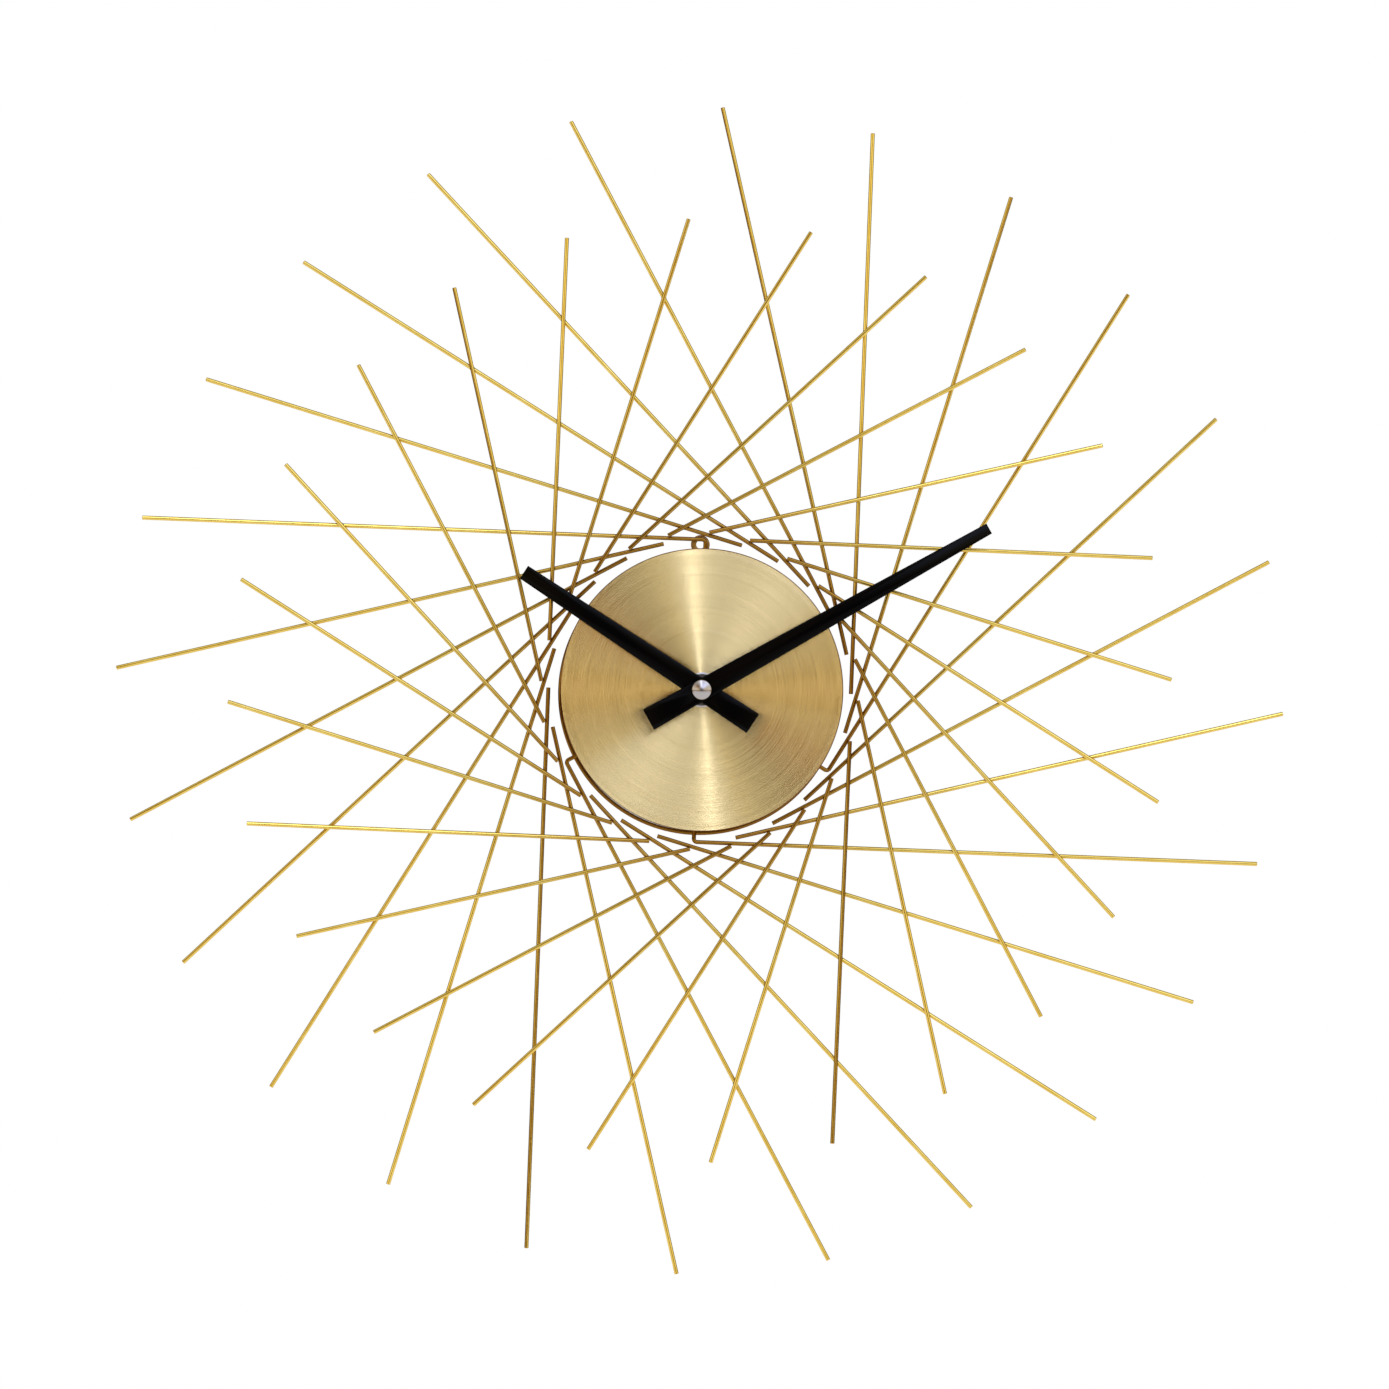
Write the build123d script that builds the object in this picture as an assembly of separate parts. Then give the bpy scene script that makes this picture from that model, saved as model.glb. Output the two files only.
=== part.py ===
from build123d import *
from math import cos, hypot, pi, radians, sin, sqrt
import os

# Sunburst wall clock: two layers of welded wire rods, a spun dial and a battery quartz movement.
# All sizes are in millimetres.  Each piece is drawn with the clock lying on its back: X to the
# right, Y towards twelve o'clock and Z up out of the wall.  hang() then stands it up, so that the
# written parts have X to the right, Z up and the dial facing -Y.  The origin is on the axis of
# the hands, in the plane of the movement's back.

# ---- wire sunburst ---------------------------------------------------------------------------
wire_d = 1.8
weld_sink = 0.1                 # how far welded wires melt into each other
rod_count = 24                  # rods in each layer
overall_d = 500.0               # circle through the tips of the long rods
rear_clear = 4.2                # from the dial's edge to the circle that the long rods run past
rear_start = 1.1                # start of a long rod, measured from its tangent point
rear_turn = -2.24               # degrees, tangent point of the first long rod
front_d = 404.0                 # circle through the tips of the short rods
front_clear = 4.6
front_start = 18.7
front_turn = -2.5
anchor_first = 2                # these long rods are bent in and welded to the ring
anchor_every = 4
anchor_bend_r = 1.4
leg_past_ring = 0.2             # bent rods stop this far outside the ring's inner edge
frame_shift = (-0.9, -0.4)      # centre of the rods, seen from the axis of the hands
ring_shift = (-1.0, -1.7)       # centre of the support ring

# ---- hanging eye and cross strap -------------------------------------------------------------
eye_r = 4.05
eye_hole_r = 1.75
eye_thick = 1.5
eye_x = -0.6
eye_gap = 1.65                  # between the hole and the ring's outer edge
eye_tail_wide = 5.0             # tongue of the eye, welded behind the ring
strap_wide = 20.0
strap_thick = 1.2
strap_step_clear = 3.0          # from the movement's side to the end of the raised middle
strap_step_run = 4.5            # length of the sloped part

# ---- dial and its fixings --------------------------------------------------------------------
dial_r = 60.6
dial_thick = 1.0
dial_bevel = 0.3
dial_gap = 0.1                  # behind the dial, in front of the bent rods
stem_r = 4.0
stem_play = 0.1                 # radial room round the stem in the parts it passes through
pad_r = 9.0
pad_thick = 1.0
washer_r = 7.5
washer_thick = 0.8
nut_flats = 14.0
nut_thick = 2.2
nut_chamfer = 0.5
stem_past_nut = 0.8
thread_pitch = 0.75
thread_deep = 0.25
thread_groove = 0.3

# ---- hands -----------------------------------------------------------------------------------
hand_thick = 0.5
minute_at = 60.7                # degrees clockwise from twelve
minute_reach = 140.7
minute_tail = 26.1
minute_tip_wide = 4.9
minute_tail_wide = 10.0
hour_at = 303.5
hour_reach = 91.1
hour_tail = 26.2
hour_tip_wide = 6.5
hour_tail_wide = 9.7
bush_over_stem = 0.3            # hour bush above the end of the stem
hour_bush_r = 4.0
hour_bush_thick = 0.8
pipe_past_hand = 0.2
minute_bush_gap = 0.4
minute_bush_r = 3.2
minute_bush_thick = 0.6
cap_r = 4.2
cap_skirt = 2.5
cap_dome = 1.0
cap_bore_deep = 2.0
stud_r = 1.5                    # threaded end of the minute arbor
stud_past_hand = 1.8

# ---- movement case ---------------------------------------------------------------------------
case_wall = 1.5
case_corner_r = 3.0
cover_thick = 1.2
snap_wide = 6.0
snap_thick = 0.8
snap_tall = 3.0
snap_places = (4.0, 16.0)       # heights of the snaps on each side
part_clear = 0.1                # room round parts that drop into place
knob_r = 6.5
knob_ring_gap = 0.4
knob_back = 0.1
knob_thick = 1.9
knob_web = 0.6                  # closed back of the knob, behind the end of its arbor
knob_flutes = 18
knob_flute_r = 0.5

# ---- battery, AA size ------------------------------------------------------------------------
cell_r = 7.25
cell_long = 49.5
cell_edge_r = 0.6
nub_r = 2.75
nub_long = 1.0
bay_side_gap = 0.25
bay_floor_gap = 0.4
bay_back_gap = 0.1
divider_thick = 1.2
train_gap = 0.49                # between the centre wheel and the bay's wall
contact_thick = 0.4
contact_gap = 0.1
plus_half_wide = 4.0
contact_half_tall = 3.0
plus_riser_wide = 2.0
minus_half_wide = 5.0
minus_low = 1.4
minus_high = 3.2
minus_riser_x = -19.5
minus_riser_wide = 2.0
leaf_thick = 0.3
leaf_half_long = 4.0
leaf_wide = 4.0
leaf_foot = 0.8

# ---- circuit board, resting on the posts -------------------------------------------------------
board_thick = 1.0
board_drop = 4.0                # from the case's front wall to the back of the board
board_edge_x = -13.5
board_top_gap = 1.0
chip_at = (-18.5, 12.0)
chip_r = 3.0
chip_thick = 1.0
chip_edge_r = 0.7
can_at = (-17.0, -5.0)
can_r = 1.0
can_long = 6.0

# ---- motor -------------------------------------------------------------------------------------
stator_thick = 1.0
stator_low_y = 3.0
stator_high_y = 21.9
stator_left = 3.9               # from the rotor's axis
stator_right = 3.7
arm_wide = 3.2
arm_past_core = 0.6
coil_x = 20.3
core_wide = 2.4
core_thick = 1.0
core_play = 0.05
coil_end_gap = 0.2
bobbin_flange_r = 3.2
bobbin_barrel_r = 1.9
winding_r = 2.9
flange_thick = 0.6
rotor_r = 2.4
rotor_tall = 2.6
rotor_air_gap = 0.5

# ---- gear train ------------------------------------------------------------------------------
motion_module = 0.5             # cannon pinion and minute wheel
cannon_teeth = 12
minute_wheel_teeth = 36
minute_pinion_teeth = 10
hour_wheel_teeth = 40
centre_teeth = 64
third_pinion_teeth = 8
centre_module = 0.3
third_teeth = 60
seconds_pinion_teeth = 8
third_module = 0.28
seconds_teeth = 50
fifth_pinion_teeth = 10
seconds_module = 0.28
fifth_teeth = 48
rotor_pinion_teeth = 8
fifth_module = 0.25
minute_wheel_angle = 0.0        # direction from each axis to the next, degrees
third_angle = 160.0
seconds_angle = 75.0
fifth_angle = 10.0
rotor_angle = 25.0
wheel_thick = 1.0
pivot_r = 0.45
pivot_play = 0.05
arbor_r = 0.55
rotor_arbor_r = 0.5
minute_arbor_r = 1.65
pipe_wall = 0.77
pipe_play = 0.08
knob_arbor_r = 1.5
rear_pivot_r = 0.9              # of the minute arbor
pivot_deep = 0.8                # bores for the front pivots
pivot_short = 0.1               # rear pivots stop inside the plate
arbor_end_gap = 0.15
train_plate_thick = 0.8
train_plate_side_gap = 1.2
train_plate_low_gap = 1.1       # above the battery bay's wall
train_plate_gap = 1.0           # behind the plate, up to the cover
post_r = 1.5
post_screw_r = 0.8
screw_head_r = 1.4
screw_head_thick = 0.8
screw_long = 4.0
screw_slot = 0.4
screw_end_gap = 0.3
addendum = 0.7                  # of all the wheels, in modules
dedendum = 1.15

# ---- the case's size, worked out from the battery and the centre wheel -------------------------
bay_wide = 2 * (cell_r + bay_side_gap)
centre_tip_r = centre_module * (centre_teeth / 2 + addendum)
case_half = case_wall + bay_wide + divider_thick + train_gap + centre_tip_r
case_side = 2 * case_half
case_floor = bay_back_gap + 2 * cell_r + bay_floor_gap
case_front = case_floor + case_wall
case_inner_half = case_half - case_wall

# ---- rods and ring, worked out from the dial ----------------------------------------------------
rear_tangent_r = dial_r + rear_clear
front_tangent_r = dial_r + front_clear
ring_r = dial_r - wire_d / 2    # centreline of the support ring
strap_step_x = case_half + strap_step_clear

# ---- heights above the wall, worked out from the back to the front ----------------------------
strap_back = case_front + pad_thick
dial_back = strap_back + strap_thick
dial_front = dial_back + dial_thick
rear_z = dial_back - dial_gap - wire_d / 2
ring_z = rear_z - wire_d + weld_sink
front_z = rear_z + wire_d - weld_sink
washer_front = dial_front + washer_thick
nut_front = washer_front + nut_thick
stem_end = nut_front + stem_past_nut
hour_bush_back = stem_end + bush_over_stem
hour_hand_back = hour_bush_back + hour_bush_thick
pipe_end = hour_hand_back + hand_thick + pipe_past_hand
minute_bush_back = pipe_end + minute_bush_gap
minute_hand_back = minute_bush_back + minute_bush_thick
cap_back = minute_hand_back + hand_thick
plate_back = cover_thick + train_plate_gap
plate_front = plate_back + train_plate_thick

# wheels stand in layers in front of the train plate
fifth_wheel_z = plate_front + 0.3
seconds_wheel_z = fifth_wheel_z + wheel_thick + 0.5
stator_z = seconds_wheel_z + wheel_thick + 0.2
third_wheel_z = seconds_wheel_z + wheel_thick + 0.5
centre_wheel_z = third_wheel_z + wheel_thick + 1.3
minute_wheel_z = centre_wheel_z + wheel_thick + 1.2
hour_wheel_z = minute_wheel_z + wheel_thick + 0.6
pinion_over = 0.2               # how far a pinion stands past the wheel it drives

# battery bay, below the train
cell_y = -case_inner_half + bay_side_gap + cell_r
bay_top = -case_inner_half + bay_wide
divider_top = bay_top + divider_thick
cell_z = bay_back_gap + cell_r
nub_tip_x = -case_inner_half + contact_gap + contact_thick
can_x = nub_tip_x + nub_long
can_end_x = can_x + cell_long


# ---- helpers -----------------------------------------------------------------------------------
def polar(centre, radius, angle):
    """The point at a radius and an angle in degrees from a centre."""
    return (centre[0] + radius * cos(radians(angle)), centre[1] + radius * sin(radians(angle)))


def disc(centre, radius, low, high):
    """A round bar that stands on Z from one height to another."""
    return Pos(centre[0], centre[1], low) * extrude(Circle(radius), high - low)


def tube(centre, outer_r, inner_r, low, high):
    """A ring or pipe that stands on Z from one height to another."""
    return disc(centre, outer_r, low, high) - disc(centre, inner_r, low, high)


def block(low, high):
    """A box between two opposite corners."""
    middle = [(a + b) / 2 for a, b in zip(low, high)]
    return Pos(*middle) * Box(*[b - a for a, b in zip(low, high)])


def rod(start, end, height):
    """A straight piece of wire between two points at one height."""
    run = Vector(end[0] - start[0], end[1] - start[1], 0)
    section = Plane(origin=(*start, height), z_dir=run.normalized())
    return extrude(section * Circle(wire_d / 2), run.length)


# ---- gears -------------------------------------------------------------------------------------
def gear(teeth, module, centre, phase, low, high):
    """A clock wheel: radial flanks below the pitch circle and narrowed tips above it, with room
    between the teeth, so that meshed wheels never touch."""
    pitch_r = teeth * module / 2
    foot_r = pitch_r - dedendum * module
    tip_r = pitch_r + addendum * module
    flank = 0.36 * pi / teeth
    crest = 0.14 * pi / teeth
    corners = [(foot_r, -flank), (pitch_r, -flank), (tip_r, -crest)]
    corners += [(tip_r, crest), (pitch_r, flank), (foot_r, flank)]
    outline = []
    for tooth in range(teeth):
        middle = radians(phase) + tooth * 2 * pi / teeth
        outline += [(r * cos(middle + a), r * sin(middle + a)) for r, a in corners]
    return Pos(centre[0], centre[1], low) * extrude(Polygon(*outline, align=None), high - low)


def meshed_phase(teeth, phase, line_angle, next_teeth):
    """The phase that puts a gap of the next wheel at the first wheel's tooth on their line."""
    tooth_place = teeth * (line_angle - phase) / 360
    return line_angle + 180 - 360 / next_teeth * (0.5 - tooth_place)


def spacing(teeth, next_teeth, module):
    """The distance between the axes of two meshed wheels."""
    return (teeth + next_teeth) * module / 2


stem_axis = (0.0, 0.0)
minute_wheel_axis = polar(
    stem_axis, spacing(cannon_teeth, minute_wheel_teeth, motion_module), minute_wheel_angle)
third_axis = polar(
    stem_axis, spacing(centre_teeth, third_pinion_teeth, centre_module), third_angle)
seconds_axis = polar(
    third_axis, spacing(third_teeth, seconds_pinion_teeth, third_module), seconds_angle)
fifth_axis = polar(
    seconds_axis, spacing(seconds_teeth, fifth_pinion_teeth, seconds_module), fifth_angle)
rotor_axis = polar(
    fifth_axis, spacing(fifth_teeth, rotor_pinion_teeth, fifth_module), rotor_angle)
hour_module = 2 * hypot(*minute_wheel_axis) / (minute_pinion_teeth + hour_wheel_teeth)

train_axes = (third_axis, seconds_axis, fifth_axis, rotor_axis)
posts = [
    (-case_half + 4.5, divider_top + 3.3),
    (-case_half + 4.5, case_half - 4.5),
    (case_half - 4.0, divider_top + 3.3),
    (case_half - 14.0, case_half - 4.0),
]


# ---- wire frame --------------------------------------------------------------------------------
def tangent_run(tangent_r, angle, side, start, tip_r):
    """Start and tip of a rod that passes a circle at an angle, leaving it to one side."""
    foot = polar(frame_shift, tangent_r, angle)
    reach = sqrt(tip_r ** 2 - tangent_r ** 2)
    heading = angle + side * 90
    return polar(foot, start, heading), polar(foot, reach, heading)


def rear_angle(k):
    return rear_turn + 360 * k / rod_count


def is_anchor(k):
    return k % anchor_every == anchor_first


def rear_rods():
    """The straight long rods, which lean anticlockwise."""
    rods = []
    for k in range(rod_count):
        if not is_anchor(k):
            run = tangent_run(rear_tangent_r, rear_angle(k), 1, rear_start, overall_d / 2)
            rods.append(rod(*run, rear_z))
    return Compound(children=rods)


def anchor_rods():
    """Long rods bent at right angles and welded to the front of the ring."""
    rods = []
    ring_off = hypot(ring_shift[0] - frame_shift[0], ring_shift[1] - frame_shift[1])
    leg_end_r = ring_r - ring_off - wire_d / 2 + leg_past_ring
    for k in range(anchor_first, rod_count, anchor_every):
        angle = rear_angle(k)
        corner, tip = tangent_run(rear_tangent_r, angle, 1, 0, overall_d / 2)
        inner = polar(frame_shift, leg_end_r, angle)
        points = [(*tip, rear_z), (*corner, rear_z), (*inner, rear_z)]
        path = FilletPolyline(*points, radius=anchor_bend_r)
        section = Plane(origin=path @ 0, z_dir=path % 0) * Circle(wire_d / 2)
        rods.append(sweep(section, path=path))
    return Compound(children=rods)


def front_rods():
    """The short rods, which lean clockwise across the long ones."""
    rods = []
    for k in range(rod_count):
        angle = front_turn + 360 * k / rod_count
        run = tangent_run(front_tangent_r, angle, -1, front_start, front_d / 2)
        rods.append(rod(*run, front_z))
    return Compound(children=rods)


def support_ring():
    return Pos(*ring_shift, ring_z) * Torus(ring_r, wire_d / 2)


def hanging_eye():
    """A flat eye at twelve o'clock, with a tongue welded behind the ring."""
    front = ring_z - wire_d / 2 + weld_sink
    back = front - eye_thick
    ring_top = ring_shift[1] + ring_r + wire_d / 2
    centre = (eye_x, ring_top + eye_gap + eye_hole_r)
    plate = disc(centre, eye_r, back, front)
    plate += block((eye_x - eye_tail_wide / 2, ring_top - wire_d, back),
                   (eye_x + eye_tail_wide / 2, centre[1], front))
    return plate - disc(centre, eye_hole_r, back, front)


def cross_strap():
    """A flat steel strap behind the ring, stepped forward in the middle to carry the dial."""
    end_front = ring_z - wire_d / 2 + weld_sink
    slope_x = strap_step_x + strap_step_run
    top = [(-ring_r, end_front), (-slope_x, end_front), (-strap_step_x, dial_back)]
    top += [(-x, z) for x, z in reversed(top)]
    bottom = [(x, z - strap_thick) for x, z in reversed(top)]
    profile = Plane.XZ * Polygon(*top, *bottom, align=None)
    bar = Pos(*ring_shift) * extrude(profile, strap_wide / 2, both=True)
    return bar - disc(stem_axis, stem_r + stem_play, strap_back, dial_back)


# ---- dial and its fixings ------------------------------------------------------------------------
def dial():
    plate = disc(stem_axis, dial_r, dial_back, dial_front)
    plate = chamfer(plate.edges().group_by(Axis.Z)[-1], dial_bevel)
    return plate - disc(stem_axis, stem_r + stem_play, dial_back, dial_front)


def seal_pad():
    return tube(stem_axis, pad_r, stem_r + stem_play, case_front, strap_back)


def stem_washer():
    return tube(stem_axis, washer_r, stem_r + stem_play, dial_front, washer_front)


def stem_nut():
    hexagon = RegularPolygon(nut_flats / 2, 6, major_radius=False)
    body = Pos(0, 0, washer_front) * extrude(hexagon, nut_thick)
    corner_r = nut_flats / 2 / cos(pi / 6)
    rounding = disc(stem_axis, corner_r, washer_front, nut_front)
    rounding = chamfer(rounding.edges().group_by(Axis.Z)[-1], nut_chamfer)
    return (body & rounding) - disc(stem_axis, stem_r, washer_front, nut_front)


# ---- hands ---------------------------------------------------------------------------------------
def hand(reach, tail, tip_wide, tail_wide, hole_r, low, clockwise):
    """A flat tapered bar with square ends, from behind its axis to its tip."""
    corners = [(-tail_wide / 2, -tail), (tail_wide / 2, -tail)]
    corners += [(tip_wide / 2, reach), (-tip_wide / 2, reach)]
    blade = Pos(0, 0, low) * extrude(Polygon(*corners, align=None), hand_thick)
    blade -= disc(stem_axis, hole_r, low, low + hand_thick)
    return Rot(0, 0, -clockwise) * blade


def hour_hand():
    return hand(hour_reach, hour_tail, hour_tip_wide, hour_tail_wide,
                pipe_outer_r, hour_hand_back, hour_at)


def minute_hand():
    return hand(minute_reach, minute_tail, minute_tip_wide, minute_tail_wide,
                stud_r, minute_hand_back, minute_at)


def hour_bush():
    return tube(stem_axis, hour_bush_r, pipe_outer_r, hour_bush_back, hour_hand_back)


def minute_bush():
    return tube(stem_axis, minute_bush_r, stud_r, minute_bush_back, minute_hand_back)


def cap_nut():
    """A domed nut with a blind thread, which holds the minute hand."""
    dome_r = (cap_r ** 2 + cap_dome ** 2) / (2 * cap_dome)
    skirt_top = cap_back + cap_skirt
    dome = Pos(0, 0, skirt_top + cap_dome - dome_r) * Sphere(dome_r)
    body = disc(stem_axis, cap_r, cap_back, skirt_top + cap_dome) & dome
    return body - disc(stem_axis, stud_r, cap_back, cap_back + cap_bore_deep)


# ---- movement case -------------------------------------------------------------------------------
pipe_inner_r = minute_arbor_r + pipe_play
pipe_outer_r = pipe_inner_r + pipe_wall
stem_bore_r = pipe_outer_r + pipe_play


def rounded_slab(low, high, side, corner_r):
    return Pos(0, 0, low) * extrude(RectangleRounded(side, side, corner_r), high - low)


def movement_case():
    """The moulded case: a tray open at the back, with the threaded stem on its front."""
    shell = rounded_slab(0, case_front, case_side, case_corner_r)
    shell -= rounded_slab(0, case_floor, 2 * case_inner_half, case_corner_r - case_wall)
    shell -= block((-case_half, bay_top, 0), (case_half, case_half, cover_thick))
    shell += block((-case_inner_half, bay_top, cover_thick),
                   (case_inner_half, divider_top, case_floor))
    for post in posts:
        shell += disc(post, post_r, plate_front, case_floor)
        shell -= disc(post, post_screw_r, plate_front, plate_front + screw_long)
    shell += disc(stem_axis, stem_r, case_front, stem_end)
    for turn in range(int((stem_end - case_front) / thread_pitch)):
        low = stem_end - (turn + 0.5) * thread_pitch - thread_groove / 2
        shell -= tube(stem_axis, stem_r + 1, stem_r - thread_deep, low, low + thread_groove)
    shell -= disc(stem_axis, stem_bore_r, case_floor, stem_end)
    for axis in (*train_axes, minute_wheel_axis):
        shell -= disc(axis, pivot_r + pivot_play, case_floor, case_floor + pivot_deep)
    return shell - plus_slot() - minus_slot()


def plus_slot():
    """The way through the divider for the positive contact."""
    return block((-case_inner_half, bay_top, cover_thick),
                 (-case_inner_half + contact_thick + 2 * contact_gap, divider_top,
                  board_back + 2 * contact_gap))


def minus_slot():
    """The way through the divider for the negative contact."""
    return block((minus_riser_x - contact_gap, bay_top, cover_thick),
                 (minus_riser_x + minus_riser_wide + contact_gap, divider_top, minus_high + 2 * contact_gap))


def rear_cover():
    """The flat back of the movement, with four snaps and a hole for the setting knob."""
    plate = rounded_slab(0, cover_thick, case_side, case_corner_r)
    plate &= block((-case_half, bay_top, 0), (case_half, case_half, cover_thick))
    plate -= disc(minute_wheel_axis, knob_r + knob_ring_gap, 0, cover_thick)
    snap_x = case_inner_half - part_clear - snap_thick
    for side in (-1, 1):
        for y in snap_places:
            inner_x = side * snap_x
            outer_x = side * (snap_x + snap_thick)
            plate += block((min(inner_x, outer_x), y - snap_wide / 2, cover_thick),
                           (max(inner_x, outer_x), y + snap_wide / 2, cover_thick + snap_tall))
    return plate


def setting_knob():
    """A fluted wheel on the back, pressed on the end of the minute wheel's arbor."""
    front = knob_back + knob_thick
    knob = disc(minute_wheel_axis, knob_r, knob_back, front)
    for k in range(knob_flutes):
        at = polar(minute_wheel_axis, knob_r, 360 * k / knob_flutes)
        knob -= disc(at, knob_flute_r, knob_back, front)
    return knob - disc(minute_wheel_axis, knob_arbor_r, knob_back + knob_web, front)


def train_plate():
    """The plate that carries the rear pivots, screwed to the posts of the case."""
    half = case_inner_half - train_plate_side_gap
    plate = block((-half, divider_top + train_plate_low_gap, plate_back), (half, half, plate_front))
    plate -= disc(stem_axis, rear_pivot_r + pivot_play, plate_back, plate_front)
    for axis in train_axes:
        plate -= disc(axis, pivot_r + pivot_play, plate_back, plate_front)
    plate -= disc(minute_wheel_axis, knob_arbor_r + pivot_play, plate_back, plate_front)
    for post in posts:
        plate -= disc(post, post_screw_r + part_clear, plate_back, plate_front)
    return plate


def plate_screws():
    screws = []
    for post in posts:
        head = disc(post, screw_head_r, plate_back - screw_head_thick, plate_back)
        low = plate_back - screw_head_thick
        head -= block((post[0] - screw_head_r, post[1] - screw_slot / 2, low),
                      (post[0] + screw_head_r, post[1] + screw_slot / 2, low + screw_head_thick / 2))
        shank_end = plate_front + screw_long - screw_end_gap
        screws.append(head + disc(post, post_screw_r, plate_back, shank_end))
    return Compound(children=screws)


# ---- battery and contacts ------------------------------------------------------------------------
board_back = case_floor - board_drop
board_low = divider_top + contact_gap


def along_x(start_x, end_x, radius, y, z):
    """A round bar that lies along X."""
    section = Plane(origin=(start_x, y, z), z_dir=(1, 0, 0)) * Circle(radius)
    return extrude(section, end_x - start_x)


def battery_cell():
    can = along_x(can_x, can_end_x, cell_r, cell_y, cell_z)
    return fillet(can.edges().filter_by(GeomType.CIRCLE), cell_edge_r)


def battery_nub():
    return along_x(nub_tip_x, can_x, nub_r, cell_y, cell_z)


def plus_contact():
    """A flat strip at the left end of the bay, which rises past the divider to the board."""
    x = -case_inner_half + contact_gap
    riser_top = board_low + plus_riser_wide
    strip = block((x, cell_y - plus_half_wide, cell_z - contact_half_tall),
                  (x + contact_thick, riser_top, cell_z + contact_half_tall))
    return strip + block((x, board_low, cell_z), (x + contact_thick, riser_top, board_back))


def minus_contact():
    """The end strip with a sprung leaf, a run along the divider and a riser to the board."""
    x = case_inner_half - contact_gap
    plate_x = x - contact_thick
    run_y = bay_top - contact_thick
    riser_x = minus_riser_x + minus_riser_wide
    riser_y = divider_top + contact_thick
    strip = block((plate_x, cell_y - minus_half_wide, minus_low),
                  (x, bay_top, cell_z + contact_half_tall))
    strip += block((minus_riser_x, run_y, minus_low), (x, bay_top, minus_high))
    strip += block((minus_riser_x, run_y, minus_low), (riser_x, riser_y, minus_high))
    strip += block((minus_riser_x, divider_top, minus_low), (riser_x, riser_y, board_back))
    inner_foot = leaf_half_long - leaf_foot
    leaf = [(plate_x, cell_y - leaf_half_long), (can_end_x, cell_y)]
    leaf += [(plate_x, cell_y + leaf_half_long), (plate_x, cell_y + inner_foot)]
    leaf += [(can_end_x + leaf_thick, cell_y), (plate_x, cell_y - inner_foot)]
    return strip + Pos(0, 0, cell_z - leaf_wide / 2) * extrude(Polygon(*leaf, align=None), leaf_wide)


# ---- electronics and motor -----------------------------------------------------------------------
def circuit_board():
    board = block((-case_inner_half + contact_gap, board_low, board_back),
                  (board_edge_x, case_inner_half - board_top_gap, board_back + board_thick))
    for post in posts[:2]:
        board -= disc(post, post_r + part_clear, board_back, board_back + board_thick)
    return board


def timing_chip():
    """A round blob of resin over the bare chip."""
    blob = disc(chip_at, chip_r, board_back - chip_thick, board_back)
    return fillet(blob.edges().group_by(Axis.Z)[0], chip_edge_r)


def quartz_can():
    """The crystal in its small can, lying on the board."""
    section = Plane(origin=(*can_at, board_back - can_r), z_dir=(0, 1, 0)) * Circle(can_r)
    return extrude(section, can_long)


core_z = stator_z + stator_thick
core_mid_z = core_z + core_thick / 2


def stator():
    """The soft-iron plate round the rotor, with two arms to the coil."""
    left = rotor_axis[0] - stator_left
    right = rotor_axis[0] + stator_right
    arm_end = coil_x + core_wide / 2 + arm_past_core
    plate = block((left, stator_low_y, stator_z), (right, stator_high_y, core_z))
    plate += block((left, stator_low_y, stator_z), (arm_end, stator_low_y + arm_wide, core_z))
    plate += block((left, stator_high_y - arm_wide, stator_z), (arm_end, stator_high_y, core_z))
    return plate - disc(rotor_axis, rotor_r + rotor_air_gap, stator_z, core_z)


def coil_core():
    return block((coil_x - core_wide / 2, stator_low_y, core_z),
                 (coil_x + core_wide / 2, stator_high_y, core_z + core_thick))


def bar_along_y(radius, start_y, end_y):
    section = Plane(origin=(coil_x, start_y, core_mid_z), z_dir=(0, 1, 0)) * Circle(radius)
    return extrude(section, end_y - start_y)


coil_start_y = stator_low_y + arm_wide + coil_end_gap
coil_end_y = stator_high_y - arm_wide - coil_end_gap


def coil_bobbin():
    spool = bar_along_y(bobbin_barrel_r, coil_start_y, coil_end_y)
    spool += bar_along_y(bobbin_flange_r, coil_start_y, coil_start_y + flange_thick)
    spool += bar_along_y(bobbin_flange_r, coil_end_y - flange_thick, coil_end_y)
    slot_x = core_wide / 2 + core_play
    return spool - block((coil_x - slot_x, coil_start_y, core_z - core_play),
                         (coil_x + slot_x, coil_end_y, core_z + core_thick + core_play))


def coil_winding():
    start = coil_start_y + flange_thick
    end = coil_end_y - flange_thick
    return bar_along_y(winding_r, start, end) - bar_along_y(bobbin_barrel_r, start, end)


# ---- train ---------------------------------------------------------------------------------------
def lightening_holes(axis, radius, low):
    """Four lightening holes in a wheel, to be cut out of it."""
    holes = disc(polar(axis, radius / 2, 45), radius / 5, low, low + wheel_thick)
    for k in range(1, 4):
        holes += disc(polar(axis, radius / 2, 45 + 90 * k), radius / 5, low, low + wheel_thick)
    return holes


pivot_low = plate_back + pivot_short


def arbor(axis, radius):
    """An arbor between the train plate and the front of the case, with a pivot at each end."""
    low = plate_front + arbor_end_gap
    high = case_floor - arbor_end_gap
    return disc(axis, radius, low, high) + disc(axis, pivot_r, pivot_low, high + pivot_deep)


def minute_arbor():
    """The arbor that turns once an hour, with the cannon pinion and the stud for the hand."""
    low = plate_front + arbor_end_gap
    shaft = disc(stem_axis, minute_arbor_r, low, minute_bush_back)
    shaft += disc(stem_axis, rear_pivot_r, pivot_low, low)
    shaft += disc(stem_axis, stud_r, minute_bush_back, cap_back + stud_past_hand)
    pinion_low = minute_wheel_z - pinion_over
    pinion_high = minute_wheel_z + wheel_thick + pinion_over
    return shaft + gear(cannon_teeth, motion_module, stem_axis, 0, pinion_low, pinion_high)


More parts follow.
